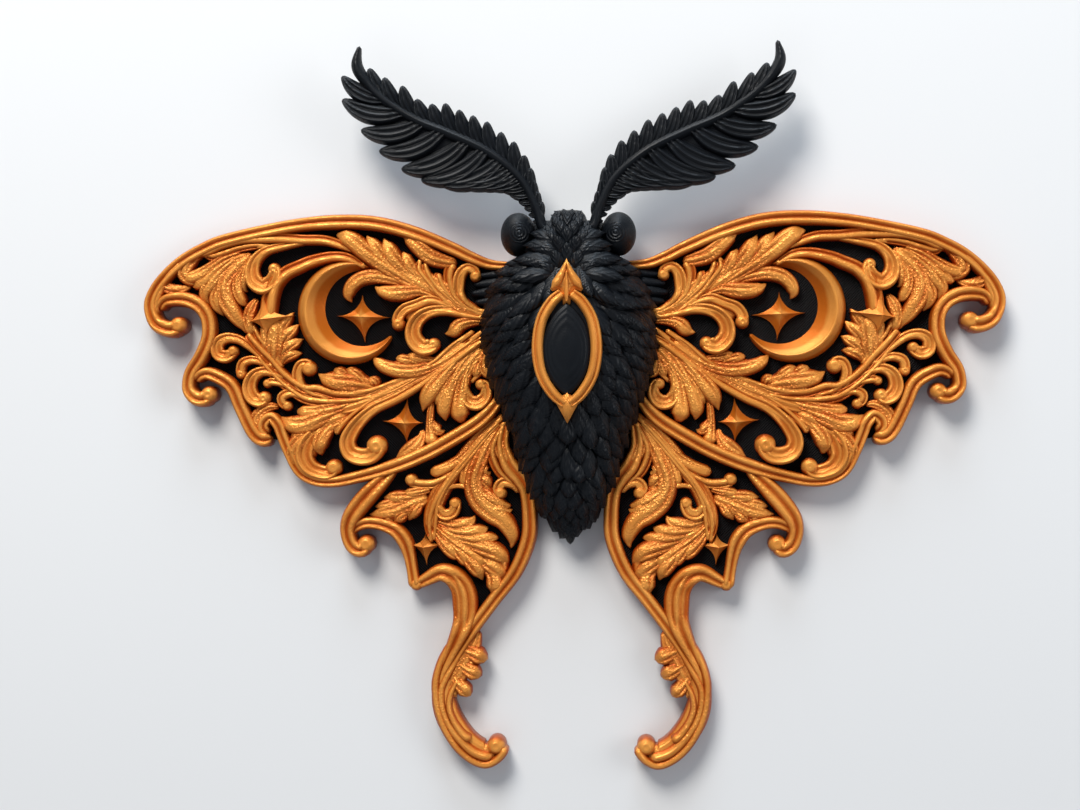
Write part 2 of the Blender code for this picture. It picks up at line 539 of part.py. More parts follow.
def largest_surface(mesh_data):
    """Drops everything but the largest closed surface."""
    unseen = set(mesh_data.faces)
    shells = []
    while unseen:
        shell = {unseen.pop()}
        edge_of_growth = list(shell)
        while edge_of_growth:
            face = edge_of_growth.pop()
            for edge in face.edges:
                for other in edge.link_faces:
                    if other in unseen:
                        unseen.discard(other)
                        shell.add(other)
                        edge_of_growth.append(other)
        shells.append(shell)
    shells.sort(key=lambda shell: sum(face.calc_area() for face in shell))
    dropped = [face for shell in shells[:-1] for face in shell]
    if dropped:
        bmesh.ops.delete(mesh_data, geom=dropped, context="FACES")
    return len(shells)


def combined(item, others, operation):
    """One Boolean of an object with a collection of others, applied, with the others removed."""
    group = bpy.data.collections.new("group")
    bpy.context.scene.collection.children.link(group)
    for other in others:
        bpy.context.scene.collection.objects.unlink(other)
        group.objects.link(other)
    step = item.modifiers.new("boolean", "BOOLEAN")
    step.operation = operation
    step.operand_type = "COLLECTION"
    step.collection = group
    step.solver = "MANIFOLD"
    graph = bpy.context.evaluated_depsgraph_get()
    result = bpy.data.meshes.new_from_object(item.evaluated_get(graph))
    item.modifiers.clear()
    item.data = result
    for other in others:
        bpy.data.objects.remove(other)
    bpy.data.collections.remove(group)


def fused(name, pieces, cutters=()):
    """The pieces as one closed mesh, with the cutters taken away."""
    item = put(pieces[0], name)
    if len(pieces) > 1:
        combined(item, [put(piece, "piece") for piece in pieces[1:]], "UNION")
    if cutters:
        cutter = put(cutters[0], "cutter")
        if len(cutters) > 1:
            combined(cutter, [put(other, "cutter") for other in cutters[1:]], "UNION")
        combined(item, [cutter], "DIFFERENCE")
    mesh_data = bmesh.new()
    mesh_data.from_mesh(item.data)
    bmesh.ops.remove_doubles(mesh_data, verts=mesh_data.verts[:], dist=MERGE_DISTANCE)
    bmesh.ops.dissolve_degenerate(mesh_data, edges=mesh_data.edges[:], dist=MERGE_DISTANCE)
    mesh_data.normal_update()
    bmesh.ops.triangulate(mesh_data, faces=mesh_data.faces[:])
    found = largest_surface(mesh_data)
    mesh_data.to_mesh(item.data)
    mesh_data.free()
    print(f"{name}: {len(item.data.polygons)} faces, {found} surfaces")
    return item


def place(item, material):
    """Turns a finished node from millimetres into metres, in the part's frame, and gives it its material."""
    item.data.transform(Matrix.Scale(MM, 4) @ Matrix.Translation((0, -CENTRE_Y, 0)))
    item.data.materials.clear()
    item.data.materials.append(material)


def add_pair(name, pieces, material, cutters=()):
    """A node of the right half and its mirror image."""
    right = fused(name + "_right", pieces, cutters)
    flipped = bmesh.new()
    flipped.from_mesh(right.data)
    bmesh.ops.transform(flipped, matrix=Matrix.Scale(-1, 4, (1, 0, 0)), verts=flipped.verts[:])
    bmesh.ops.reverse_faces(flipped, faces=flipped.faces[:])
    left = put(flipped, name + "_left")
    place(right, material)
    place(left, material)


def star(centre, left, right, upper, lower, foot=FOOT):
    """A low four-pointed star with hollow sides."""
    corners = []
    tips = (right, upper, left, lower)
    for tip, following in zip(tips, tips[1:] + tips[:1]):
        corners.append(tip)
        waist = [c + STAR_WAIST * (a + b - 2 * c) for a, b, c in zip(tip, following, centre)]
        corners.append(waist)
    return facets(corners, (*centre, FOOT + STAR_HEIGHT), foot)


def crescent():
    points = []
    for share in np.linspace(0.02, 0.98, CRESCENT_STEPS):
        ends = []
        for x, y, radius, first, last in (CRESCENT_OUTER, CRESCENT_INNER):
            angle = math.radians(first + share * (last - first))
            ends.append(np.array([x + radius * math.cos(angle), y + radius * math.sin(angle)]))
        points.append((*(ends[0] + ends[1]) / 2, np.hypot(*(ends[0] - ends[1]))))
    return ridge(points, 0)


def wing_plate(edge, seam_step, grow=0.0, low=0.0, high=PLATE_TOP):
    outline = [(x, y - seam_step) for x, y in WING_SEAM] + list(edge)
    return prism(grown(outline, grow) if grow else outline, low, high)


def channel(stroke, spare=GAP):
    """The upright room that a stroke fills, with some to spare on both sides."""
    line = stroke_line(stroke)
    line[:, 2] += 2 * spare
    rings = []
    for left, _, right, _ in sections(line, stations(line)):
        rings.append([(*left, BELOW_ALL), (*left, ABOVE_ALL), (*right, ABOVE_ALL), (*right, BELOW_ALL)])
    return loft(rings)


def add_wings(plastic, silk):
    add_pair("forewing_plate", [wing_plate(FORE_PLATE_EDGE, 0)], plastic, [body_clearance()])
    add_pair("hindwing_plate", [wing_plate(HIND_PLATE_EDGE, SEAM_STEP)], plastic, [body_clearance()])

    pieces = [rim(stroke) for stroke in FORE_RIM]
    pieces += [ridge(stroke) for stroke in FORE_SCROLLS + FORE_LEAVES]
    pieces.append(star(*STARS["star_outer"], FOOT - SUNK))
    add_pair("forewing_filigree", pieces, silk, wing_clearances())

    pieces = [rim(stroke) for stroke in HIND_RIM]
    pieces += [ridge(stroke) for stroke in HIND_SCROLLS + HIND_LEAVES]
    pieces.append(star(*STARS["star_hind"], FOOT - SUNK))
    add_pair("hindwing_filigree", pieces, silk, wing_clearances() + [channel(FORE_RIM[LOWER_RIM])])

    upper_arch = FORE_SCROLLS[UPPER_ARCH]
    add_pair("crescent", [crescent()], silk, [channel(upper_arch)])
    add_pair("star_inner", [star(*STARS["star_inner"])], silk)
    add_pair("star_lower", [star(*STARS["star_lower"])], silk)


def wing_clearances():
    return [
        body_clearance(),
        wing_plate(FORE_PLATE_EDGE, 0, GAP, BELOW_ALL, FOOT),
        wing_plate(HIND_PLATE_EDGE, SEAM_STEP, GAP, BELOW_ALL, FOOT),
    ]


def shoulder_scales():
    """Four ridges of black scales that lie on the plate beside the shoulder, on one thin pad."""
    pad = prism([(14, 34.6), (20, 34.6), (22.6, 30), (22.4, 27), (20, 26), (14, 26)], FOOT, FOOT + 0.7)
    pieces = [pad]
    for x, y, half_length, half_width in SHOULDER_SCALES:
        left, right = x - half_length, x + half_length
        tip = (right, y - 0.4, 0.5)
        pieces.append(ridge(((left, y, 1), (x, y, 2 * half_width), (right - 1, y, half_width), tip), 0))
    return pieces


def ease(table, place):
    places, values = zip(*table)
    return float(np.interp(place, places, values))


def feeler():
    """A rib with two combs of rounded vanes, all lying at one level."""
    line = stroke_line(FEELER_RIB)
    run = np.concatenate([[0], np.cumsum(np.hypot(*np.diff(line[:, :2], axis=0).T))])
    pieces = [feeler_rib()]
    combs = (
        (UPPER_VANES, UPPER_HEADING, UPPER_LENGTH, UPPER_WIDTH, UPPER_LIFT),
        (LOWER_VANES, LOWER_HEADING, LOWER_LENGTH, LOWER_WIDTH, LOWER_LIFT),
    )
    for (first, last, count), headings, lengths, widest, lift in combs:
        for share in np.linspace(first, last, count):
            place = share * run[-1] * COMB_SHARE
            root = np.array([np.interp(place, run, line[:, 0]), np.interp(place, run, line[:, 1])])
            angle = math.radians(ease(headings, share))
            length = ease(lengths, share)
            width = min(widest, 1.4 + length * 0.24)
            ahead = np.array([math.cos(angle), math.sin(angle)])
            pieces.append(feeler_vane(root, ahead, length, width, FEELER_LEVEL + lift))
    return pieces


def feeler_rib():
    line = stroke_line(FEELER_RIB)
    rings = []
    for left, middle, right, width in sections(line, stations(line)):
        low, high = FEELER_LEVEL, FEELER_LEVEL + FEELER_DEPTH * min(1, 0.4 + width / 3)
        rings.append([(*left, low), (*left, low + 1), (*middle, high), (*right, low + 1), (*right, low)])
    return loft(rings)


def feeler_vane(root, ahead, length, width, level):
    """A flat lobe with a low ridge, full as far as its shoulder and rounded at its tip."""
    side = np.array([-ahead[1], ahead[0]])
    rings = []
    for reach, share, height in ((0, 0.7, 1.7), (0.5, 1, 1.8), (0.86, 0.8, 1.5), (1, 0.25, 0.8)):
        middle = root + ahead * length * reach
        half = side * width * share / 2
        rings.append([(*(middle + half), level), (*middle, level + height), (*(middle - half), level)])
    return loft(rings)


def add_body(plastic):
    tail, brow = BODY_ROWS[0][0], BODY_ROWS[-1][0]
    seat = prism(mirrored(grown_outline(CAMEO_OUTLINE, GAP)), CAMEO_SEAT, ABOVE_ALL)
    parts = (
        ("abdomen", tail, WAIST_Y - GAP / 2, []),
        ("thorax", WAIST_Y + GAP / 2, NECK_Y - GAP / 2, [seat]),
        ("head", NECK_Y + GAP / 2, brow, []),
    )
    for name, low, high, cutters in parts:
        ends = [box_between(low - PAST_BODY, low), box_between(high, high + PAST_BODY)]
        pieces = [body_length(low, high)] + body_scales(low, high)
        place(fused(name, pieces, cutters + ends), plastic)


def box_between(low, high):
    """All the room above the floor between two places along the body."""
    corners = [(-PAST_BODY, low), (PAST_BODY, low), (PAST_BODY, high), (-PAST_BODY, high)]
    return prism(corners, BELOW_ALL, ABOVE_ALL)


def grown_outline(half, step):
    """The right half of a mirrored outline, moved outwards by a step, still starting and ending at x = 0."""
    whole = mirrored(half)
    moved = grown(whole, step)[: len(half)]
    moved[0, 0] = moved[-1, 0] = 0
    return [tuple(point) for point in moved]


def head_clearance():
    return body_length(NECK_Y - 3, BODY_ROWS[-1][0] + GAP, GAP)


def add_eyes_and_feelers(plastic):
    eye = bmesh.new()
    bmesh.ops.create_uvsphere(eye, u_segments=16, v_segments=8, radius=1)
    bmesh.ops.scale(eye, vec=EYE_RADII, verts=eye.verts[:])
    bmesh.ops.translate(eye, vec=EYE_CENTRE, verts=eye.verts[:])
    add_pair("eye", [eye], plastic, [head_clearance()])
    add_pair("antenna", feeler(), plastic, [head_clearance()])


def add_cameo(plastic, silk):
    pieces = []
    frame_clearance = []
    for side in (1, -1):
        arc = [(side * x, y, width) for x, y, width in CAMEO_RING]
        line = stroke_line(arc)
        rings = []
        for left, middle, right, _ in sections(line, stations(line)):
            low, high = CAMEO_FOOT, RING_CREST
            rings.append([(*left, low), (*left, high - 1), (*middle, high), (*right, high - 1), (*right, low)])
        pieces.append(loft(rings))
        frame_clearance.append(channel(arc))
    pieces.append(facets(mirrored(CAMEO_ARROW), (0, 30.5, RING_CREST), CAMEO_FOOT))
    pieces.append(facets(mirrored(CAMEO_DROP), (0, 0.6, RING_CREST), CAMEO_FOOT))
    place(fused("cameo_frame", pieces), silk)

    outline = np.array(mirrored(CAMEO_STONE))
    middle = outline.mean(axis=0)
    levels = ((1, CAMEO_FOOT), (1, CAMEO_FOOT + 2.6), (0.72, STONE_TOP - 0.7), (0.36, STONE_TOP))
    rings = [[(*(middle + (point - middle) * share), level) for point in outline] for share, level in levels]
    place(fused("cameo_stone", [loft(rings)], frame_clearance), plastic)


def main():
    clear_scene()
    plastic = finish("black_plastic", black, 0.55)
    silk = finish("orange_silk_plastic", orange, 0.32, 0.25)
    add_wings(plastic, silk)
    clearances = [body_clearance(), channel(FORE_RIM[0]), channel(FORE_SCROLLS[0])]
    add_pair("shoulder_scales", shoulder_scales(), plastic, clearances)
    add_body(plastic)
    add_eyes_and_feelers(plastic)
    add_cameo(plastic, silk)


main()
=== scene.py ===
# The looks of a two-colour printed moth ornament: silk orange scrollwork over matte black wings,
# a body of overlapping feather scales, feather-shaped feelers and a pointed oval cameo.
import itertools
import math

import bmesh
import bpy
import numpy as np
from mathutils import Matrix, Vector


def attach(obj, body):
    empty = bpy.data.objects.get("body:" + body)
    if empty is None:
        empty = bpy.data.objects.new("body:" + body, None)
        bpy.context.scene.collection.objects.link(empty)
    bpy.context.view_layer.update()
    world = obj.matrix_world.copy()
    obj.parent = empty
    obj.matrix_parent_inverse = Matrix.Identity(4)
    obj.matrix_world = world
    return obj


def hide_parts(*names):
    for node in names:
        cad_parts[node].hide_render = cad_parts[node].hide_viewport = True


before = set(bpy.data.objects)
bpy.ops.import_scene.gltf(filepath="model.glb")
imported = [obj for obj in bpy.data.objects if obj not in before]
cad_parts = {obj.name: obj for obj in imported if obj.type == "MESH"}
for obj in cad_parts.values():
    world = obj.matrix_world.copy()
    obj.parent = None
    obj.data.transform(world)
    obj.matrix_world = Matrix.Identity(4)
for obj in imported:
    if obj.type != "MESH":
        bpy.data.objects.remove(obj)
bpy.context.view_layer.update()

millimetre = 0.001
shiftY = 0.635          # the tables below count y from the middle of the photo's frame
print("frame loaded,", len(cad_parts), "solids")


# Strokes of the wings, in millimetres: points are x, y, width.
# A rim's list says on which side of its way the outer bead runs, and 1 where its top is flat.
foreRims = (
    ("left", 0, ((13.5, 35.8, 2.0), (20, 36.2, 2.7), (25, 38, 3.1), (30, 40.4, 3.4),
     (40, 44.5, 3.8), (50, 47.1, 3.9), (60, 47.6, 3.9), (70, 46.9, 3.6), (80, 45.2, 3.5),
     (90, 42.9, 3.5), (95, 40.9, 3.5), (100, 38.2, 3.4), (104, 34.9, 3.4), (107.3, 31, 3.5),
     (109, 27.2, 3.6), (108.7, 24, 3.8), (107.2, 21.4, 4.2), (104.7, 20.2, 4.4),
     (102.4, 20.3, 4.6), (101.3, 21, 4.8))),
    ("left", 0, ((107, 25, 2.4), (105.5, 27.3, 3.2), (102.5, 28, 3.8), (99, 27.6, 4), (96, 26, 4),
     (94.2, 23.5, 4), (93.6, 20.5, 4), (94, 17, 4), (96, 12.6, 3.9), (98.4, 9, 3.6),
     (99.2, 6, 3.5), (98.9, 4, 3.7), (97.5, 2.4, 4), (95.6, 1.9, 4.2), (93.2, 3.1, 4.6))),
    ("left", 0, ((97.5, 6.5, 2.5), (95.8, 8.2, 3.2), (93, 8.3, 3.6), (88, 5.3, 3.8),
     (85.3, -0.5, 3.8), (82.3, -6.5, 3.9), (80, -8.6, 3.9), (77.3, -8.4, 3.6))),
    ("right", 0, ((15, 6, 1.4), (18.5, 1, 3), (22, -3, 3.8), (27, -6.6, 4), (37, -12.2, 4),
     (47, -16.2, 3.8), (57, -18.9, 3.2), (62, -19.7, 3), (66.5, -19.2, 3), (70.3, -16.8, 3),
     (73.1, -11.3, 3.2), (74.8, -7, 3.2), (75.6, -4.9, 3.4), (77.5, -3.0, 3.2), (79.3, -4.1, 3.2),
     (79.5, -5.9, 3.2), (78.1, -7.3, 2.8))),
)

foreVolutes = (
    ((20.8, 24.1, 1.2), (24.1, 24.5, 1.6), (26.8, 26.2, 2.4), (28.4, 28.6, 3), (28.6, 31.3, 3.4),
     (28, 33.9, 3.2), (26.3, 35.4, 2.8), (24.4, 34.6, 2.8), (24.1, 32.5, 2.8)),
    ((21.4, 22.5, 1.4), (26.2, 23.3, 2.2), (31.6, 24.5, 2.8), (35.9, 24.2, 3.2), (39, 22.4, 3.8),
     (40.4, 19.6, 4.2), (39.9, 16.8, 4.6), (37.8, 15, 4.6), (35.5, 15.4, 4), (34.6, 16.4, 3.2)),
    ((28.9, 24.6, 1.2), (33.3, 26.7, 2.2), (36.5, 27.2, 2.8), (39.7, 26, 3), (42.7, 24.8, 3.2),
     (44.3, 22.6, 3.2), (44.1, 20.2, 3.2)),
    ((67.3, 42.6, 1.2), (70.5, 42.2, 1.8), (74.2, 41.5, 2.2), (78.5, 40.4, 2.6), (81.2, 38.2, 3.2),
     (82.3, 35.2, 3.8), (81.6, 32.3, 4.4), (79.5, 31.1, 4.6), (77.2, 32.3, 4.2), (76.3, 34.5, 3.6),
     (77, 36.3, 2.9)),
    ((79.2, 11.8, 1.4), (82.9, 15.2, 2.2), (86.1, 17.3, 2.6), (89.3, 17.7, 3), (91.4, 16.3, 3.4),
     (91.4, 13.8, 3.6), (89.5, 12.9, 3.6), (87.8, 13.8, 3), (87.3, 15, 2.7)),
    ((76.5, 9.9, 1.2), (79.2, 11.2, 2), (82.4, 12, 2.4), (84.9, 11.2, 2.8), (85.5, 9, 2.8),
     (85, 7.7, 2.6)),
    ((73.8, 7.2, 1.4), (76.5, 8.5, 2.2), (79.7, 9, 2.8), (82.2, 7.7, 3.4), (83.2, 4.9, 3.8),
     (82.3, 2.3, 4), (80.3, 1.5, 3.8), (78.7, 2.7, 3.2)),
    ((71.7, 4.8, 1.2), (74.9, 5.9, 2), (77.5, 6.3, 2.2), (79.1, 5.6, 2.2)),
    ((65.2, 1.1, 1.4), (69.5, 2.6, 2), (72.5, 3.4, 2.4), (74.6, 2.5, 2.8), (74.6, 0.8, 2.6),
     (72.8, -0.3, 2.4)),
    ((62, 1.9, 1.4), (66.9, 2.9, 2), (69.8, 5.1, 2.8), (70.7, 8, 3), (69.8, 10.5, 3),
     (68, 10.7, 3), (67.4, 8.7, 3.6)),
    ((64.1, -4.9, 1.6), (67.6, -8.9, 4.2), (68.8, -12.7, 4.8), (67.6, -15.6, 4.4), (65.2, -17, 4),
     (62.8, -17.3, 3.8), (61.3, -16.2, 3.8), (61.1, -14.9, 3.9)),
    ((26.2, 9.5, 1.4), (27, 6.2, 2.2), (27, 3.3, 3), (25.6, 0.9, 3.8), (23.3, 0.7, 4),
     (21.6, 2.7, 3.4), (21.9, 5.1, 2.8), (23.7, 5.4, 2.7)),
    ((20.8, 17.9, 1.6), (25.1, 15.2, 2.4), (28.9, 12.4, 2.6), (34.3, 8.5, 2.6), (39.6, 4.9, 2.7),
     (45, 1.8, 2.8), (50.3, -0.6, 3), (53.8, -3.3, 3.4), (56.3, -6.3, 3.9), (57.6, -9.3, 4.3),
     (56.8, -12, 4.6), (54.3, -13.2, 4.7), (51.6, -12.9, 4.6), (50, -11, 4.8), (50.3, -9.1, 4.9)),
)

foreStems = (
    ((21.4, 23, 1.2), (26.2, 24.6, 2), (29.8, 27.8, 2.6), (31.1, 31.6, 2.8), (31, 34.8, 3),
     (29.6, 36.9, 2.6)),
    ((23.5, 23.5, 1.2), (28.9, 26.2, 1.8), (32.5, 30, 2.2), (33.9, 33.2, 2.4), (33.6, 34.4, 1.6)),
    ((26.2, 24.1, 1.2), (31.1, 27.3, 1.8), (34.9, 31, 2.2), (36.9, 34.3, 2.2), (37.6, 37.1, 1.6)),
    ((27.8, 24.1, 1.2), (33.3, 27.8, 1.8), (37, 32.1, 2.2), (39.1, 35.2, 2.2), (38.3, 38, 1)),
    ((55.3, 39.8, 1.2), (59.1, 41.6, 2.4), (63.4, 42.9, 2.8), (69.2, 43.1, 2.9), (74.5, 43.6, 3),
     (79.8, 43.6, 3), (85.2, 43.3, 3), (90.5, 41.9, 3), (94.7, 40.1, 2.8), (98.5, 39.9, 1)),
    ((77.4, 41.5, 1.2), (81.7, 41.5, 1.8), (85.9, 40.8, 2), (89.6, 39.5, 2.4), (92.8, 38.7, 2.2),
     (95.4, 39.7, 1)),
    ((52.6, 35.7, 1.4), (56.9, 38.1, 2.6), (61.2, 38.6, 3), (66.6, 37.5, 3.4), (69.8, 36.2, 3.6),
     (73.5, 34.5, 3.8), (76.2, 31.8, 4.2), (77.5, 28.5, 4.6), (78, 25.3, 4.6), (78.2, 22.1, 4)),
    ((98.1, 39.7, 1.2), (101.8, 37.2, 2), (105, 33.7, 2.6), (106.8, 29.9, 3), (107.9, 26.7, 3),
     (107.6, 23.5, 2.2)),
    ((21.4, 19.8, 1.4), (27.3, 15.4, 1.8), (32.7, 11.6, 1.8), (39.6, 7.4, 1.8), (45, 4.4, 1.8),
     (50.4, 2.2, 1.8), (55.7, -1.4, 1.9), (58.9, -4.4, 2.1), (60.8, -7.5, 1.6)),
    ((24.6, 19.2, 1.4), (30, 15.4, 1.8), (35.3, 10.8, 2), (40.7, 8.1, 1.6), (45, 6.2, 1.6),
     (50.4, 4, 2.2), (55.7, 2.8, 2.6), (60.5, 2.8, 2.8), (65.4, 4.2, 2.8), (68.5, 4.3, 2.8),
     (71.8, 6, 2.8), (75, 8.7, 2.8), (77.7, 11.9, 2.8), (80.4, 14.6, 2.8), (84.1, 18.9, 2.4)),
    ((50.4, 2.5, 1.4), (55.7, 1.2, 2), (61.1, 0.8, 2.4), (65.4, 1, 2.6), (69.5, 2, 2.4),
     (74.4, 5.5, 2.2), (78.2, 9.2, 2.2), (81.4, 13, 2)),
    ((74.4, 9.9, 1.2), (77.6, 13.9, 1.8), (80.8, 17.7, 2), (82.4, 21.4, 1.4)),
    ((19.2, 15.5, 1.4), (21.3, 10.6, 2), (25.6, 5.7, 1)),
)

foreLeaves = (
    ((36, 29.4, 1.2), (39.2, 32.6, 2.4), (41.1, 35.8, 3.2), (42.4, 38.3, 2.8), (43.2, 40, 0.8)),
    ((37.6, 29.7, 1.2), (41.4, 33.7, 2.6), (44.6, 37.2, 4), (46.8, 40.6, 3.8), (48.2, 43.5, 0.8)),
    ((39.7, 31, 1.2), (44, 34.2, 2.6), (48.1, 37.9, 3.6), (50.5, 41.2, 3.8), (52.7, 44.3, 0.8)),
    ((38.7, 30.2, 1.4), (43.5, 33.4, 3), (48.4, 36.6, 4), (52.7, 39.8, 4.6), (55.9, 42.5, 4.6),
     (58.6, 43.9, 3.6), (60.6, 44.4, 1.6)),
    ((34.3, 27.8, 1.2), (38.6, 29.4, 2.4), (42.4, 29.1, 4), (46.2, 29.1, 3.8), (48.9, 29.8, 2.6),
     (50.6, 31, 0.8)),
    ((41.3, 31, 1.2), (46.2, 32.8, 3), (50.5, 33.5, 3.6), (54.2, 32.8, 3.6), (56.6, 30.8, 3.4),
     (57.3, 28.4, 2.6), (56.5, 26.8, 0.8)),
    ((29, 36.6, 2.4), (32.8, 37.3, 3.6), (36, 38.5, 4.2), (39, 41, 4), (41.4, 43, 3),
     (43.3, 44.2, 1)),
    ((21.4, 21.5, 1.2), (25.1, 21.6, 2.4), (28.1, 20.8, 3.4), (29.7, 19.3, 3.6), (31.3, 18.6, 2),
     (32.4, 18.6, 0.8)),
    ((82.2, 39, 1.2), (84, 36, 2.4), (84.9, 32.8, 2.8), (84.5, 30.4, 1.6), (83.6, 29.8, 0.8)),
    ((83.8, 37.1, 1.2), (86.2, 32.8, 2.6), (86.1, 29.6, 3), (84.8, 26.9, 2.4), (83.7, 26.1, 0.8)),
    ((82.7, 39.8, 1.4), (87, 35.5, 3.2), (89.6, 31.7, 4.2), (89.1, 27.4, 4.8), (86.9, 23.6, 4),
     (85, 21, 2.6), (84.1, 18.8, 1)),
    ((85.4, 36.5, 1.4), (89.1, 32.8, 3), (91.7, 29, 3.6), (91.7, 26.3, 3.2), (90.2, 23.5, 1)),
    ((85.4, 39, 1.4), (89.6, 36, 3), (93.1, 32.2, 3.8), (94.9, 29, 3), (93.5, 26.2, 0.8)),
    ((86.4, 39.2, 1.4), (90.7, 36.4, 3), (94.4, 33.3, 3.4), (97, 31.4, 2.6), (98.4, 31.5, 1)),
    ((85.4, 40, 1.2), (89.6, 38.5, 2.4), (93.1, 36.2, 2.8), (96, 34.4, 3.2), (98.6, 33.5, 3.2),
     (100.8, 34, 2.2)),
    ((95.5, 39.4, 1.4), (97.6, 38.9, 3), (99.4, 36.7, 3.6), (100.2, 34.5, 3.8), (98.6, 32.9, 3.2),
     (96, 32.2, 2)),
    ((105.3, 34.2, 1.2), (106.2, 32.1, 2.6), (104.2, 30.6, 3), (101.3, 30.4, 2.4),
     (98.4, 31.2, 0.8)),
    ((81.1, 28, 1.2), (82.7, 25.3, 3), (83.5, 22.1, 3), (82.6, 18.3, 2.4)),
    ((20.8, 14.9, 1.6), (22.1, 11.7, 2.6), (21.9, 9, 2.8), (20.5, 7.5, 2), (19.8, 7, 0.8)),
    ((22.9, 11.7, 1.2), (23.9, 9.2, 2.4), (24.4, 6.9, 2)),
    ((23, 15.5, 1.4), (25.6, 10.6, 2.6), (27.5, 5.7, 3.4), (28.3, 0.8, 4.2), (28.3, -2.4, 4.6),
     (27.6, -4.7, 2.8)),
    ((24, 15.4, 1.4), (28.3, 10, 2.8), (31, 4.6, 3.8), (32.3, 0.3, 4), (32.4, -2.2, 3.2),
     (32.2, -4.1, 1)),
    ((24.6, 13.3, 1.4), (28.9, 7.3, 3), (32.6, 3, 3.4), (34.5, -0.3, 2.6)),
    ((25.1, 16, 1.4), (30.5, 10, 3), (34.8, 5.1, 4.4), (36.9, 1.9, 4), (38.2, -1.6, 0.9)),
    ((35.6, 1.1, 1.2), (36, -1.4, 1.8), (36.2, -4.6, 2), (36.1, -7.3, 2.6), (35.8, -9.5, 4),
     (36.1, -10.8, 3)),
    ((36.9, -3, 1), (35.4, -5.2, 2.4), (34.2, -6.5, 2.8), (33.2, -6.9, 2), (32.4, -6.4, 0.8)),
    ((38.1, -6.2, 0.8), (38.4, -8.4, 2.6), (40.1, -10.6, 4), (42.2, -11.9, 3.4),
     (45.2, -13.8, 1.2)),
    ((28.9, 13.8, 1.4), (34.3, 10.6, 2.6), (39.6, 9, 3.6), (43.9, 9, 3.8), (47.7, 10, 3.4),
     (49.9, 11.5, 2.4), (51.1, 12.9, 0.8)),
    ((34.3, 11.6, 1.4), (38, 11.9, 2.4), (40.7, 12.5, 2.6), (42.3, 13.1, 1.4)),
    ((38.6, 10.5, 1.4), (41.3, 11.5, 2.6), (44, 12.1, 2.4), (45.2, 12.3, 1.4)),
    ((48.2, 4.2, 1.4), (52.5, 3.8, 3), (56.8, 3.8, 3.4), (60.5, 4.2, 2.8), (61.9, 4.7, 1)),
    ((50.4, 4.8, 1.4), (55.7, 5.7, 4.4), (60, 6.2, 4.6), (63.2, 7, 3.4), (65.5, 8.4, 0.8)),
    ((49.8, 4.8, 1.2), (50.4, 6.1, 2.8), (52.2, 7.3, 2)),
    ((52.5, 5.3, 1.4), (54.4, 7.2, 3), (56.6, 8.9, 2.6), (58.4, 9.3, 1.2)),
    ((56.5, 6.1, 1.4), (58.7, 8, 3.2), (60.6, 9, 2.8), (61.5, 9.1, 1.2)),
    ((76.8, 9.6, 1.4), (76.6, 13.9, 4.2), (76.3, 18.2, 4.8), (75.4, 21.5, 3.6), (74.7, 23.9, 1.4)),
    ((75.4, 10.7, 1.2), (73.6, 12.8, 3), (71.3, 13.5, 2.4), (69.4, 13.7, 0.7)),
    ((75.7, 12.3, 1.4), (73.4, 15.1, 3.2), (71.1, 16.4, 2.6), (69.2, 17.4, 0.7)),
    ((75.7, 14.5, 1.4), (74, 17.8, 3.4), (71.8, 19.7, 2.6), (70.2, 21.3, 0.7)),
    ((76.1, 16.6, 1.4), (74.9, 20, 3.2), (73.2, 22.3, 2.6), (71.7, 24.4, 0.7)),
    ((77.3, 10.7, 1.4), (78.4, 15, 3), (78.9, 18.7, 3), (79.5, 22, 2)),
    ((55.6, 1.1, 1.4), (59.9, -0.4, 3), (64.2, -1.2, 3.4), (67.9, -1.6, 3.4), (70.3, -1.4, 2.8),
     (71.1, -1.2, 1.2)),
    ((58.8, -1.1, 1.4), (64.2, -3.1, 4), (68.4, -4.8, 5), (71.6, -4.9, 4.6), (73.8, -3.8, 3),
     (75.2, -2.7, 0.8)),
    ((65.2, -6.5, 1.4), (68.4, -7.3, 3), (71.1, -7.6, 3), (72.6, -8.8, 0.9)),
    ((65.7, -6.5, 1.4), (69.5, -8.6, 4), (71.6, -11.1, 4), (71.9, -13.5, 3), (70.2, -16.2, 2)),
    ((60.4, -3.8, 1.4), (63.1, -6.5, 3.6), (64.8, -9.2, 4.4), (64.9, -11.3, 3.6),
     (64.4, -12.9, 1.4)),
    ((55.6, -2.4, 1.2), (58.8, -4.3, 2.4), (60.4, -6.2, 2.2), (60.9, -7.5, 1)),
    ((75.4, -0.2, 0.8), (78, -0.2, 2.4), (80.2, -1.4, 3), (81.8, -3.6, 3.2), (81.6, -5.7, 3),
     (79.9, -7.1, 2.4), (78.1, -7.1, 1.4)),
)

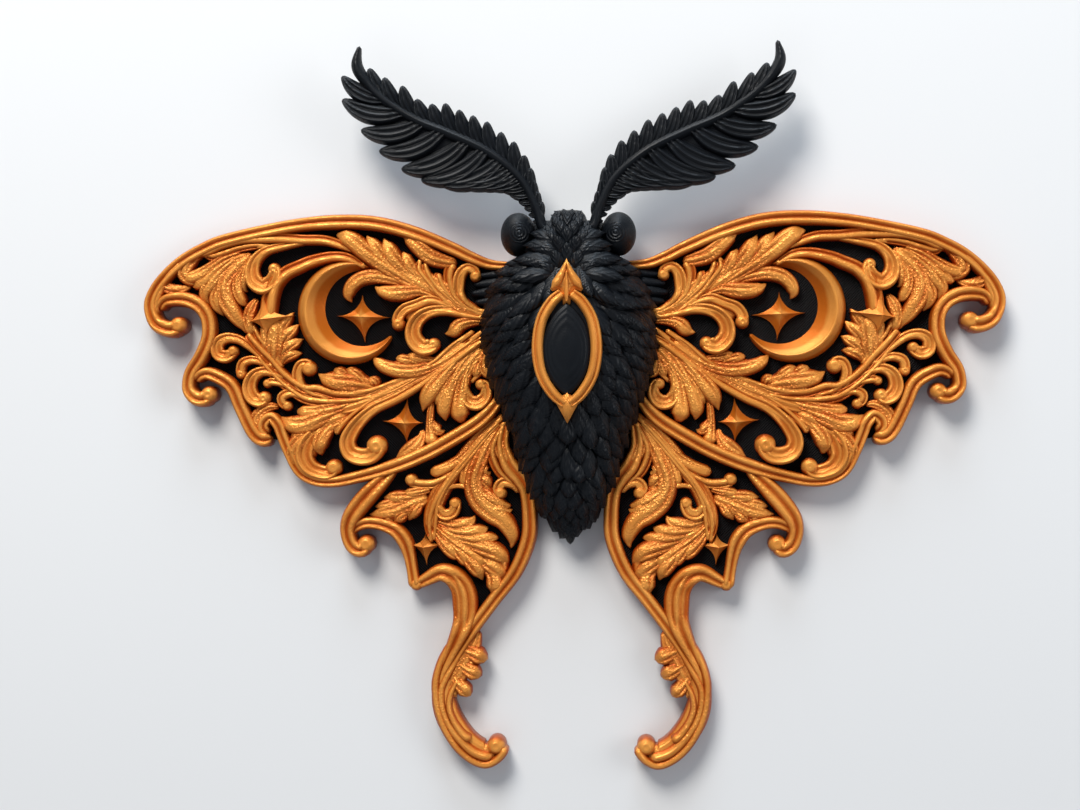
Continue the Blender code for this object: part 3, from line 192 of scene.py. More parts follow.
hindRims = (
    ("right", 0, ((15.6, -1.5, 1.2), (17, -7, 3), (17.2, -11, 3.6), (15.6, -15.5, 4.6),
     (12.8, -19, 4.4), (11.1, -22.5, 4), (10.5, -29, 4), (11, -35, 4), (14.3, -43, 3.8),
     (20, -50.5, 3.6), (26, -58.5, 3.6), (30.3, -65.2, 3.4), (32.8, -70.6, 2.8),
     (33.2, -75, 1.6))),
    ("left", 0, ((44.8, -15.2, 1.4), (47, -17.8, 3.4), (51.4, -22.2, 5), (54.5, -25.7, 5.2),
     (56.9, -29.2, 4.8), (57.7, -32.6, 4), (56.6, -36, 4), (54.4, -37.2, 4.4),
     (52.5, -35.7, 4.8))),
    ("left", 0, ((56.6, -33.2, 1.6), (55.7, -31.4, 2.8), (52.6, -30.3, 3.2), (48.9, -30.7, 3.4),
     (45.1, -32.3, 4), (42.8, -35.1, 4.2), (41.7, -38.5, 3.4), (41, -42.3, 3), (40.5, -45.6, 3.2),
     (40.2, -47.2, 3.4))),
    ("left", 0, ((39.8, -46.4, 2.6), (37, -44.8, 3.6), (33.5, -43.2, 4.6), (30.3, -44.2, 5.5),
     (28, -47, 6.2), (27.2, -51, 6.6), (27.8, -56.5, 5.6), (31.3, -64.5, 3.6), (33.8, -70, 2.6),
     (34.2, -75, 1.4))),
    ("left", 1, ((29.6, -62, 1.6), (32.2, -67.5, 4.8), (33.2, -72, 5.4), (32.8, -77.5, 6.3),
     (30.8, -82.5, 6.6), (27, -87.3, 6.4), (22.6, -89.6, 5.6), (20, -88.4, 4.6))),
)

hindVolutes = (
    ((13, -22.6, 1.6), (14.7, -20.5, 2.6), (17.2, -19.9, 3), (18.5, -21.6, 3.2),
     (17.5, -23.4, 3.1)),
    ((25.9, -13.5, 1.4), (30.2, -17.6, 2), (34.6, -20.1, 2.6), (38.3, -20.4, 2.6),
     (40.8, -19.8, 2.8), (41.2, -18.4, 3)),
    ((34.7, -22.6, 1.6), (34.4, -25.7, 2.4), (32.8, -28.1, 3.2), (30.5, -27.8, 3.2),
     (29.6, -25.7, 3), (30.3, -24.8, 2.8)),
)

hindStems = (
    ((17.2, -3.1, 1.2), (21.2, -6.6, 2.2), (25.6, -11.6, 2.6), (30.9, -17.9, 3),
     (34.6, -23.5, 3.2), (36.4, -27.9, 2.8), (36.7, -31.7, 2.2), (35.8, -35.5, 1)),
    ((18.1, -4.4, 1.2), (22.5, -9.1, 2), (26.5, -13.8, 2.4), (32.1, -20.4, 2.8),
     (34.3, -24.8, 2.8), (35, -29.2, 2.2), (35.2, -32.9, 1.6), (35.2, -35.1, 1)),
    ((25.9, -21, 2), (29.3, -20.8, 1.4), (32.7, -21.4, 2)),
    ((16.2, -3.7, 1.2), (19, -7.8, 2.2), (20.3, -12.2, 2.6), (18.4, -17.2, 2.4),
     (14.6, -20.7, 1.6)),
)

hindLeaves = (
    ((17.5, -4.4, 1.2), (20.6, -9.1, 2.8), (23.4, -14.7, 4.2), (24.9, -19.8, 4.8),
     (23.6, -24.1, 5.6), (20.5, -27.3, 5.6), (17.1, -29.8, 4.8), (15.2, -32.9, 3.8),
     (15, -35.4, 2.4), (15.5, -37.1, 0.8)),
    ((22.1, -13.5, 1.4), (22.6, -16, 3), (21.4, -17.6, 2.6), (20.4, -17.1, 1)),
    ((24.1, -17.2, 1.4), (22, -19.2, 3.2), (20.2, -21.4, 1.6)),
    ((24.9, -20.4, 1.4), (21.5, -23.6, 4), (18, -25.7, 3.4), (15.1, -26, 1.4)),
    ((22.7, -23.8, 1.4), (18.9, -26.8, 3.8), (16.4, -27.4, 2.6), (14.9, -26.9, 1)),
    ((19.7, -6, 1.2), (24, -11, 2.4), (26.8, -16.3, 2.8), (27.4, -19.8, 2.8), (28.5, -21.3, 1)),
    ((17.2, -5.3, 1.6), (18.3, -9.7, 3), (17.6, -12.5, 3.2), (15.9, -14.4, 2.8),
     (13.8, -14.9, 0.8)),
    ((17.2, -2.2, 1.2), (22.2, -7.5, 1.8), (26.5, -12.2, 2.4), (30.2, -15.1, 2.8),
     (33.7, -16.8, 3), (36.4, -17.5, 2.8)),
    ((20.3, -7.2, 1.2), (22.1, -12.2, 2.2), (22.7, -15.4, 2.4), (21.8, -16.9, 1)),
    ((35.8, -21.6, 1.4), (38.9, -22.2, 2.4), (41.7, -22.6, 2.4), (43.3, -22.5, 1.4)),
    ((37.1, -22.9, 1.4), (41.4, -25.5, 3.2), (45.2, -27, 3.8), (48.3, -27.7, 3.4),
     (50.7, -28.1, 1.8), (52.4, -28.2, 0.7)),
    ((38.3, -23.4, 1.4), (42.1, -23.7, 3), (45.5, -23.7, 3), (48.6, -23.9, 0.8)),
    ((43.3, -25.1, 1.4), (47, -25.7, 3), (49.2, -26, 2.2), (50.8, -26.2, 0.8)),
    ((38.3, -24.8, 1.4), (40.2, -27.2, 3.2), (42, -29.8, 1)),
    ((42, -27.3, 1.4), (44, -28.8, 3.2), (45.9, -30.4, 1)),
    ((45.2, -27.9, 1.4), (47.3, -29.2, 3), (49, -30.2, 0.8)),
    ((34.9, -29.8, 1.2), (30.8, -30.9, 3.2), (27.1, -30.7, 3.4), (25.3, -29.6, 2.2),
     (24.6, -28.3, 0.8)),
    ((33.9, -31.7, 1.2), (28.9, -32.6, 3.4), (24.6, -32.8, 3.8), (22.2, -32, 3),
     (21.2, -31.5, 1.2)),
    ((32, -33.2, 1.2), (27, -34.3, 3.4), (22.7, -34.7, 3.8), (19.9, -34.2, 2.8),
     (18.4, -34.3, 1.2)),
    ((29.5, -34.8, 1.2), (23.9, -36.2, 4), (19.5, -37.7, 4.6), (17, -39.6, 3.2), (16, -41.2, 1)),
    ((26.4, -37.3, 1.2), (21.4, -40.6, 4), (17.9, -43.3, 3.6), (16.3, -44.9, 1)),
    ((35.3, -32, 1.2), (33, -35.3, 3), (30.5, -38, 3.2), (28.1, -39.9, 1.4)),
    ((32.4, -34.2, 1.2), (29.2, -37.3, 3.2), (27, -40.1, 3.2), (25.7, -41.7, 1)),
    ((29.2, -36, 1.2), (26.1, -39.7, 3.8), (23.7, -42.9, 3.6), (22.7, -45.3, 1)),
    ((35.7, -30.4, 1.2), (32, -33.8, 2.4), (27, -37.6, 3), (21.7, -41.4, 3.6)),
    ((23.3, -40.4, 1.4), (20.1, -43.6, 3.6), (19.6, -46.7, 4), (20.1, -49.2, 1.8)),
    ((28.2, -62.9, 2), (25.4, -63.9, 3.8), (23.3, -64.9, 4.4), (21.5, -65.7, 4)),
    ((29.4, -66.5, 2), (26.6, -68.1, 3.6), (24.6, -69.1, 4.2), (23, -69.9, 3.8)),
    ((30.4, -69.7, 2), (28.6, -72.1, 3.4), (27.1, -73.8, 3.8), (26, -75.2, 3)),
    ((31.2, -72.1, 1.4), (30.4, -73.9, 2.2), (29.7, -75.6, 1)),
)

foreBeds = (
    ((34.3, 28.3, 2), (39.7, 32.1, 6), (45.1, 35.5, 7.5), (50.5, 38.7, 6.5), (55.9, 41.6, 3)),
    ((22.4, 23, 3), (27.9, 25.7, 5), (32.2, 29.4, 5.5), (36, 32, 4.5), (39.2, 34.8, 3.5)),
    ((24.6, 22.5, 3), (31.6, 25.1, 4), (38.6, 24.5, 3.6), (42.4, 21.8, 2)),
    ((82.7, 39.3, 3), (87, 35.7, 7), (90.1, 31.9, 8), (89.6, 27.4, 5)),
    ((22.4, 14.9, 3), (26.2, 10.6, 5), (29.9, 5.7, 7.5), (32.9, 1.9, 6.5), (34.2, -0.3, 4)),
    ((36.1, -5.2, 2), (36.2, -7.9, 3.6), (36.9, -10, 5)),
    ((26.2, 16.5, 4), (34.3, 10.5, 4.6), (42.3, 6.2, 4.6), (50.4, 2.2, 4.6), (55.7, 0.2, 4.4),
     (60.5, -0.9, 4)),
    ((35.9, 10, 2), (41.3, 9.7, 5), (46.1, 9.5, 4), (49.3, 11, 1.5)),
    ((49.3, 4.2, 2), (54.7, 5.7, 6), (60, 6.5, 6), (63.8, 7.7, 2)),
    ((76.1, 10.2, 3), (75.3, 13.9, 5.4), (74.5, 18.8, 5.4), (73.6, 22.5, 2)),
    ((57.7, -2.1, 3), (64.7, -5.1, 8), (68.9, -9.2, 8.5), (68.1, -14.6, 6)),
)

hindBeds = (
    ((17.8, -4.7, 2), (21.5, -9.7, 4.6), (24.6, -17.2, 5.5), (23, -22.9, 7), (19.3, -27, 6),
     (16.4, -31, 3)),
    ((18.4, -3.4, 2), (24, -9.1, 4), (29.6, -16.6, 4.4), (33.6, -22.3, 5), (35.6, -27.9, 4.8),
     (35.9, -32.3, 3.5)),
    ((34.5, -31, 2), (29.5, -34.2, 7), (23.9, -37.6, 9.5), (19.5, -41.1, 8), (18.8, -44.2, 4),
     (20, -48.6, 2.5)),
    ((36.5, -23.5, 3), (41.4, -25.5, 6), (46.4, -27, 6), (50.1, -27.9, 3)),
    ((23.7, -58.1, 1.5), (25.3, -62.5, 4.4), (27.6, -67.3, 5), (30.2, -72.1, 4), (31.4, -75.2, 2)),
)

tailBeads = (
    ((31.4, -61.7, 1.6), (33.4, -65.7, 2), (34.8, -70.5, 2.2), (34.9, -74.4, 2.2),
     (34.2, -79.2, 2.2), (32.3, -84, 2.2), (29.3, -88.4, 2.2), (25.7, -91.4, 2.2),
     (22.2, -92.6, 2.2), (19.4, -91.5, 2.2), (17.6, -89.5, 2.4), (17, -87.9, 2.2)),
    ((28.2, -63.7, 1.4), (31.4, -68.9, 2), (33.3, -72.8, 2.2), (33.5, -76, 2.2),
     (32.9, -79.2, 2.2), (31.3, -82.8, 2.4), (28.5, -86.4, 2.8), (25.3, -89.2, 3),
     (22.2, -90.4, 3), (20.2, -90.1, 2.6)),
    ((29, -70.5, 1.2), (31, -74.5, 1.8), (31.4, -78, 2), (30.1, -81.6, 2.2), (27.8, -84.8, 2.6),
     (25.6, -86.2, 3)),
)
knobs = {       # rolled ends of the rims: x, y, width
    "fore": ((101.8, 21.1, 4.6), (93.8, 3.1, 4.4)),
    "hind": ((52.9, -35.8, 4.6), (19.3, -87.7, 4.8), (39.9, -46.2, 3.3)),
}


# Lines and sections of the strokes.
relief = {
    "foot": 3.3,            # the scrollwork stands on this level
    "under": 2.8,           # and is sunk to this one, inside the plate
    "base": 1.0,            # height of a ridge of no width
    "share": 0.62,          # what each millimetre of width adds
    "most": 4.1,
    "step": 0.55,           # distance between sections along a stroke
    "across": 20,           # columns over the top of a section
    "bend": 0.85,           # how much of a bend's radius the inner half may take
}


def smoothLine(points, samples=14):
    # a smooth curve through the points
    knots = np.array(points, float)
    padded = np.vstack([2 * knots[0] - knots[1], knots, 2 * knots[-1] - knots[-2]])
    t = np.linspace(0, 1, samples, endpoint=False)[:, None]
    runs = []
    for a, b, c, d in zip(padded, padded[1:], padded[2:], padded[3:]):
        cubic = t * (3 * (b - c) + d - a)
        runs.append(b + 0.5 * t * (c - a + t * (2 * a - 5 * b + 4 * c - d + cubic)))
    return np.vstack(runs + [knots[-1:]])


def evenly(line, step):
    # the same line in even paces, and how far along each point lies
    run = np.concatenate([[0], np.cumsum(np.hypot(*np.diff(line[:, :2], axis=0).T))])
    count = max(8, math.ceil(run[-1] / step))
    at = np.linspace(0, run[-1], count + 1)
    return np.column_stack([np.interp(at, run, column) for column in line.T]), at


def reliefMesh():
    mesh = bmesh.new()
    mesh.verts.layers.float_color.new("carve")      # red: how near the crest, which paints shade into the grooves and highlight onto the crests; green: how speckled
    return mesh


def grid(mesh, along, around):
    # a flat grid to be moved into shape, with each vertex's row and column
    made = bmesh.ops.create_grid(mesh, x_segments=along, y_segments=around, size=1)["verts"]
    places = (np.array([vert.co[:2] for vert in made]) + 1) / 2
    rows = np.rint(places[:, 0] * along).astype(int)
    columns = np.rint(places[:, 1] * around).astype(int)
    return made, rows, columns


def moveTo(verts, points):
    for vert, point in zip(verts, points):
        vert.co = point


# Sections: heights from 0 to 1 over u, which runs from -1 to 1 across the stroke.
def beads(u, parts):
    rounds = [tall * np.sqrt(np.clip(1 - np.abs((u - centre) / reach) ** 2.7, 0, 1))
              for centre, reach, tall in parts]
    return np.max(rounds, axis=0)


def dome(u):
    return np.sqrt(np.clip(1 - u**4, 0, 1))


def ramp(value, start, length):
    return np.clip((value - start) / length, 0, 1)


def groove(u, place, reach, depth):
    return 1 - depth * np.exp(-(((u - place) / reach) ** 2))


def rimTop(u, share, width):
    two = beads(u, ((-0.45, 0.55, 1.0), (0.55, 0.45, 0.94)))
    four = beads(u, ((-0.62, 0.38, 0.86), (-0.02, 0.3, 1.0), (0.45, 0.24, 0.86), (0.8, 0.22, 0.7)))
    wide = ramp(width, 5.3, 0.8)
    return np.maximum(four * wide + two * (1 - wide), 0.68 * dome(u))


def stemTop(u, share, width):
    two = beads(u, ((-0.3, 0.7, 1.0), (0.68, 0.34, 0.74)))
    grooved = np.maximum(two, 0.6 * dome(u))
    return np.where(width > 1.7, grooved, dome(u))


def voluteTop(u, share, width):
    # a stem whose inner ridge flattens to a dished ledge inside a round outer bead as it widens
    ledge = np.clip(1 - np.abs((u + 0.28) / 0.74) ** 6, 0, 1) ** 0.5 * groove(u, -0.3, 0.26, 0.22)
    ledge *= 0.74 + 0.26 * ramp(share, 0.84, 0.12)      # it rises to the rolled end
    dished = np.maximum(beads(u, ((0.67, 0.35, 1.0),)), ledge)
    wide = ramp(width, 2.7, 0.9)
    return dished * wide + stemTop(u, share, width) * (1 - wide)


def tailTop(u, share, width):
    return 0.46 * dome(u)


def leafTop(u, share, width):
    # three ridges at the root that pass into a dome with one fine groove
    ridges = beads(u, ((-0.62, 0.38, 0.82), (0.0, 0.42, 1.0), (0.62, 0.38, 0.82)))
    fade = ramp(share, 0.25, 0.45)
    smooth = dome(u) * groove(u, 0.3, 0.13, 0.22 * ramp(-share, -0.95, 0.3))
    return (1 - fade) * np.maximum(ridges, 0.56 * dome(u)) + fade * smooth


def bedTop(u, share, width):
    return dome(u) * (0.92 + 0.08 * np.cos(9 * u))


def vaneTop(u, share, width):
    ribs = 0.5 + 0.5 * np.cos((u + 0.1) * 3.4 * math.pi)
    return dome(u) * (1 - 0.38 * ramp(-share, -0.98, 0.25) * (1 - ribs))


def roundTop(u, share, width):
    return np.sqrt(np.clip(1 - u**2, 0, 1))


def knobTop(u, share, width):
    # a round boss with a flat top, the same all round whatever the stroke's own rounded ends
    along = np.abs(2 * share - 1)
    outward = np.sqrt(along**2 + u**2 * (1 - along**2))
    flat = np.clip(1 - outward**3.2, 0, 1) ** 0.5 - 0.07 * np.exp(-((outward / 0.3) ** 2))
    return flat / np.sqrt(np.clip(1 - along**2, 0.02, 1))


def crescentTop(u, share, width):
    crest = 0.28
    inner = np.clip((1 - u) / (1 - crest), 0, 1)
    outer = np.clip((u + 1) / (1 + crest), 0, 1)
    return np.where(u < crest, outer**1.15, inner**0.62)


def layStroke(mesh, stroke, top, flip=False, low=relief["under"], wall=relief["foot"],
              ground=relief["foot"], lift=0.0, tall=1.0, ends=(1, 1), step=relief["step"],
              tilt=0.0, speckle=0.3, point=0.0, bright=1.0):
    # a closed ribbon along the stroke: upright sides from low to wall, the shaped top above them
    line, at = evenly(stroke if isinstance(stroke, np.ndarray) else smoothLine(stroke), step)
    slopes = np.gradient(line[:, :2], axis=0)
    slopes /= np.maximum(np.hypot(*slopes.T), 1e-9)[:, None]
    sides = np.column_stack([-slopes[:, 1], slopes[:, 0]])
    spacing = at[1] - at[0]
    bends = np.gradient(np.unwrap(np.arctan2(slopes[:, 1], slopes[:, 0]))) / spacing
    widths = line[:, 2].copy()
    fromEnd = at[-1] - at
    if point:                       # the stroke narrows to a point
        widths *= np.clip(0.3 + 0.7 * fromEnd / (point * widths.max()), 0, 1) ** 0.8
    closing = np.ones(len(at))      # and its ends are rounded in plan and in height
    for distance, width, wanted in ((at, widths[0], ends[0]), (fromEnd, widths[-1], ends[1])):
        if wanted:
            near = np.clip(distance / max(width * 0.5 * wanted, spacing * 0.6), 0, 1)
            closing *= np.sqrt(np.clip(1 - (1 - near) ** 2, 0, 1))
    halves = widths * closing / 2
    room = relief["bend"] / np.maximum(np.abs(bends), 1e-6)
    left = np.where(bends > 0, np.minimum(halves, room), halves)
    right = np.where(bends < 0, np.minimum(halves, room), halves)
    heights = np.minimum(relief["base"] + relief["share"] * widths, relief["most"]) * tall
    crests = ground + heights + lift
    share = at / at[-1]

    across = relief["across"]
    u = -np.cos(np.linspace(0, math.pi, across + 1))
    uFull = np.concatenate([[-1], u, [1, -1]])
    onTop = np.concatenate([[0], np.ones(across + 1), [0, 0]])
    made, rows, columns = grid(mesh, len(at) - 1, across + 3)
    uAt, topAt = uFull[columns], onTop[columns]
    reachAt = np.where(uAt < 0, left[rows], right[rows])
    shaped = top(-uAt if not flip else uAt, share[rows], widths[rows])
    offset = -uAt * reachAt
    points = np.empty((len(made), 3))
    points[:, 0] = line[rows, 0] + sides[rows, 0] * offset
    points[:, 1] = line[rows, 1] + sides[rows, 1] * offset
    slant = tilt * (uAt + 1) * np.abs(shaped) ** 0.5 * closing[rows]
    rise = (crests[rows] - wall) * closing[rows] * shaped + slant
    points[:, 2] = np.where(topAt > 0, wall + np.maximum(rise, 0), low)
    moveTo(made, points)
    # the crest value is painted shade and highlight: dark in the grooves and on low sides, light on
    # the crests
    carve = mesh.verts.layers.float_color["carve"]
    spots = speckle * np.sin(np.pi * np.clip(share[rows] * 1.05, 0, 1)) * topAt
    outside = 0.6 if low < 1 else 0         # painted shade tone of the outer walls, which go down to the table; sunk walls get the deepest painted shade
    shadeTones = np.maximum(np.clip(shaped * bright, 0, 1) * topAt, outside)
    for vert, high, spot in zip(made, shadeTones, spots):
        vert[carve] = (high, spot, 0, 1)


def turnOf(stroke):
    # which way a stroke curls in all
    line = smoothLine(stroke)
    headings = np.unwrap(np.arctan2(*np.diff(line[:, :2], axis=0).T[::-1]))
    return headings[-1] - headings[0]


def finishMesh(mesh, name, mergeWithin=0.012):
    if mergeWithin:
        bmesh.ops.remove_doubles(mesh, verts=mesh.verts[:], dist=mergeWithin)
    bmesh.ops.recalc_face_normals(mesh, faces=mesh.faces[:])
    toMetres = Matrix.Scale(millimetre, 4) @ Matrix.Translation((0, shiftY, 0))
    bmesh.ops.transform(mesh, matrix=toMetres, verts=mesh.verts[:])
    for face in mesh.faces:
        face.smooth = True
    data = bpy.data.meshes.new(name)
    mesh.to_mesh(data)
    mesh.free()
    return data


def addPiece(name, data, material, slot, *nodes):
    # a finished piece on the one body, standing for the named solids
    piece = bpy.data.objects.new(name, data)
    bpy.context.scene.collection.objects.link(piece)
    data.materials.clear()
    data.materials.append(material)
    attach(piece, "root")
    if nodes:
        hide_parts(*nodes)
    return piece


def mirrored(data, name):
    mesh = bmesh.new()
    mesh.from_mesh(data)
    bmesh.ops.transform(mesh, matrix=Matrix.Scale(-1, 4, (1, 0, 0)), verts=mesh.verts[:])
    bmesh.ops.reverse_faces(mesh, faces=mesh.faces[:])
    other = bpy.data.meshes.new(name)
    mesh.to_mesh(other)
    mesh.free()
    return other


def addPair(name, mesh, material, slot, *nodes):
    right = finishMesh(mesh, name + "Right")
    left = mirrored(right, name + "Left")
    for side, data in (("right", right), ("left", left)):
        covered = [f"{node}_{side}" for node in nodes]
        addPiece(name + side.capitalize(), data, material, slot, *covered)


# Shader maths: a wire is an output socket that can be reckoned with.
class Wire:
    def __init__(self, tree, socket):
        self.tree, self.socket = tree, socket

    def reckon(self, operation, first, second=None):
        step = self.tree.nodes.new("ShaderNodeMath")
        step.operation = operation
        for slotIn, value in zip(step.inputs, (first, second)):
            if isinstance(value, Wire):
                self.tree.links.new(value.socket, slotIn)
            elif value is not None:
                slotIn.default_value = value
        return Wire(self.tree, step.outputs[0])

    def __add__(self, other): return self.reckon("ADD", self, other)
    def __radd__(self, other): return self.reckon("ADD", other, self)
    def __sub__(self, other): return self.reckon("SUBTRACT", self, other)
    def __rsub__(self, other): return self.reckon("SUBTRACT", other, self)
    def __mul__(self, other): return self.reckon("MULTIPLY", self, other)
    def __rmul__(self, other): return self.reckon("MULTIPLY", other, self)
    def sine(self): return self.reckon("SINE", self)
    def size(self): return self.reckon("ABSOLUTE", self)


class Finish:
    def __init__(self, name):
        self.material = bpy.data.materials.new(name)
        self.material.use_nodes = True
        self.tree = self.material.node_tree
        self.shader = self.tree.nodes["Principled BSDF"]

    def node(self, kind, settings=None, values=None, out=0):
        made = self.tree.nodes.new("ShaderNode" + kind)
        for key, value in (settings or {}).items():
            setattr(made, key, value)
        self.wire(made, values or {})
        return Wire(self.tree, made.outputs[out])

    def wire(self, made, values):
        for key, value in values.items():
            if isinstance(value, Wire):
                self.tree.links.new(value.socket, made.inputs[key])
            else:
                made.inputs[key].default_value = value

    def parts(self, wire, kind="XYZ"):
        split = self.node("Separate" + kind, values={0: wire}).socket.node
        return [Wire(self.tree, output) for output in split.outputs]

    def axes(self):
        place = self.node("TexCoord", out=3)
        return place, self.parts(place)

    def bump(self, height, strength, distance, under=None):
        values = {"Height": height, "Strength": strength, "Distance": distance}
        if under:                                   # bumps are stacked, the coarser one below
            values["Normal"] = under
        return self.node("Bump", values=values)

    def noise(self, place, scale, detail=2.0, roughness=0.5):
        return self.node("TexNoise", values={
            "Vector": place, "Scale": scale, "Detail": detail, "Roughness": roughness})

    def between(self, wire, low, high):
        return self.node("MapRange", values={"Value": wire, "From Min": low, "From Max": high})

    def mix(self, factor, first, second):
        return self.node("Mix", {"data_type": "RGBA"}, {0: factor, 6: first, 7: second}, out=2)


layerPitch = 0.0002     # the height of one printed layer, in metres
silkLook = {
    "deep": (0.36, 0.046, 0.0015, 1),       # painted shade in the grooves
    "middle": (0.545, 0.134, 0.007, 1),
    "light": (0.79, 0.345, 0.068, 1),       # painted highlight on the crests
    "roughness": 0.34, "metallic": 0.42, "specular": 0.28, "layerRelief": 0.00006,
    "cloudScale": 110, "grainScale": 2800, "grainRelief": 0.00007,
    "dotScale": 1500, "dotRelief": 0.00017, "pitShade": 0.45,
    "crestFrom": (0.35, 0.97),              # from painted shade in the groove to painted highlight on the crest, on carved pieces
    "heightFrom": (0.0040, 0.0058),         # painted highlight rising with height on smooth pieces, in metres
    # where the painted highlight starts and where it is full
    "lightFrom": (1.0, 1.75),
}
blackLook = {
    "deep": (0.0008, 0.0012, 0.0019, 1), "light": (0.0034, 0.0051, 0.0076, 1),
    "roughness": 0.40, "specular": 0.19, "layerRelief": 0.00005,
    "cloudScale": 90, "grainScale": 2600, "grainRelief": 0.00006,
    "barbRelief": 0.00007, "barbs": 26.0, "barbSlope": 26.0,
}
plateLook = {
    "pitch": 0.00052, "relief": 0.00020, "cloudScale": 300, "roughness": 0.42, "specular": 0.12,
    "deep": (0.0008, 0.0009, 0.0011, 1), "light": (0.0066, 0.0070, 0.0078, 1),
}
eyeRings = {"centre": (0.0121, 0.0441), "pitch": 0.00078, "reach": 0.0031, "relief": 0.00016}


def silkPlastic(name, carved=True):
    look = silkLook
    finish = Finish(name)
    place, (x, y, z) = finish.axes()
    layers = (z * (2 * math.pi / layerPitch)).sine()
    cloud = finish.noise(place, look["cloudScale"])
    fine = finish.noise(place, look["grainScale"], 3, 0.6)
    dots = finish.node("TexVoronoi", values={"Vector": place, "Scale": look["dotScale"]})
    normal = finish.bump(layers, 0.5, look["layerRelief"])
    if carved:
        carve = finish.node("Attribute", {"attribute_name": "carve"})
        crest, spotted = finish.parts(carve, "Color")[:2]
        tone = finish.between(crest, *look["crestFrom"])
        pits = finish.between(dots, 0.25, 0.5) * spotted
        grains = finish.between(dots, 0.55, 0.1) * spotted
        normal = finish.bump(grains, 0.9, look["dotRelief"], normal)
        # painted shade: darker towards the grooves and in the pits between the speckle grains
        shade = tone + cloud * 0.4 - 0.22 - pits * look["pitShade"]
    else:
        # smooth pieces get painted highlight on their highest parts
        tone = finish.between(z, *look["heightFrom"])
        shade = cloud * 0.3 + 0.7
    # painted highlight: crests, or the highest parts of smooth pieces, turn towards the light
    # colour
    gleam = finish.between(tone + cloud * 0.6 + fine * 0.3, *look["lightFrom"])
    body = finish.mix(shade, look["deep"], look["middle"])
    finish.wire(finish.shader, {
        "Base Color": finish.mix(gleam, body, look["light"]),
        "Roughness": cloud * 0.16 + fine * 0.16 + (look["roughness"] - 0.16),
        "Metallic": look["metallic"],
        "Specular IOR Level": look["specular"],
        "Normal": finish.bump(fine, 0.6, look["grainRelief"], normal),
    })
    return finish.material


def blackPlastic(name, barbs=False, rings=False):
    look = blackLook
    finish = Finish(name)
    place, (x, y, z) = finish.axes()
    layers = (z * (2 * math.pi / layerPitch)).sine()
    grain = finish.noise(place, look["grainScale"])
    cloud = finish.noise(place, look["cloudScale"])
    normal = finish.bump(layers, 0.5, look["layerRelief"])
    normal = finish.bump(grain, 0.5, look["grainRelief"], normal)
    if barbs:
        across, along = finish.parts(finish.node("UVMap", {"uv_map": "featherMap"}))[:2]
        lines = ((across - 0.5).size() * look["barbs"] - along * look["barbSlope"]).sine()
        normal = finish.bump(lines, 0.6, look["barbRelief"], normal)
    if rings:
        centreX, centreY = eyeRings["centre"]
        offset = finish.node("CombineXYZ", values={"X": x.size() - centreX, "Y": y - centreY})
        away = finish.node("VectorMath", {"operation": "LENGTH"}, {0: offset}, out=1)
        fade = finish.between(away, eyeRings["reach"], eyeRings["reach"] * 0.6)
        circles = (away * (2 * math.pi / eyeRings["pitch"])).sine() * fade
        normal = finish.bump(circles, 0.7, eyeRings["relief"], normal)
    finish.wire(finish.shader, {
        "Base Color": finish.mix(cloud, look["deep"], look["light"]),
        "Roughness": cloud * 0.1 + grain * 0.06 + (look["roughness"] - 0.08),
        "Specular IOR Level": look["specular"],
        "Normal": normal,
    })
    return finish.material


def linedPlastic(name):
    look = plateLook
    finish = Finish(name)
    place, (x, y, z) = finish.axes()
    lines = ((x.size() - y) * (2 * math.pi / (look["pitch"] * math.sqrt(2)))).sine()
    cloud = finish.noise(place, look["cloudScale"])
    finish.wire(finish.shader, {
        # the base colour is lighter on the ridges of the print lines: painted highlight on the
        # ridges; the lines' relief itself is the bump
        "Base Color": finish.mix(finish.between(lines, -0.2, 1.0), look["deep"], look["light"]),
        "Roughness": cloud * 0.12 + look["roughness"] - 0.06,
        "Specular IOR Level": look["specular"],
        "Normal": finish.bump(lines, 0.8, look["relief"]),
    })
    return finish.material


silk = silkPlastic("silkOrange")
silkSmooth = silkPlastic("silkOrangeSmooth", carved=False)
black = blackPlastic("matteBlack")
feathered = blackPlastic("featheredBlack", barbs=True)
ringed = blackPlastic("ringedBlack", rings=True)
plate = linedPlastic("linedBlack")
print("finishes made")


# Wings: how each kind of stroke stands, and how far its neighbours are stepped in height
# so that crossing strokes don't lie in one plane.
strokeLook = {
    "bed": {"tall": 0.58, "speckle": 1.0, "step": 0.8},
    "rim": {"low": 0.0, "wall": 3.7, "speckle": 0.35},
    "volute": {"speckle": 0.25, "bright": 1.3},
    "stem": {"speckle": 0.4},
    "leaf": {"tall": 0.9, "speckle": 1.0, "point": 0.45},
}
heightStep = {"rim": 0.04, "volute": 0.06, "stem": 0.07, "leaf": 0.12}
# bright and flatBright scale the painted shade and highlight of a stroke's crest tone
wingLook = {
    "foreLevel": 0.15, "hindLevel": -0.35, "leafSwell": 1.12, "leafSunk": 0.35, "flatBright": 2.6,
}
knobLook = {"sections": 22, "endShare": 1.14, "endBefore": 0.28, "rimSunk": 0.2}


def layKnob(mesh, x, y, across, lift=0.0, **sides):
    # a rolled end: a flat-topped round boss
    half = across / 2
    layStroke(mesh, ((x - half, y, across), (x + half, y, across)), knobTop, lift=lift,
              step=across / knobLook["sections"], speckle=0, **sides)


def layEnd(mesh, stroke):
    # the rolled end of a volute, a little before its last point
    line = smoothLine(stroke)
    ahead = line[-1, :2] - line[-4, :2]
    width = stroke[-1][2]
    x, y = line[-1, :2] - ahead / math.hypot(*ahead) * knobLook["endBefore"] * width
    layKnob(mesh, x, y, knobLook["endShare"] * width)


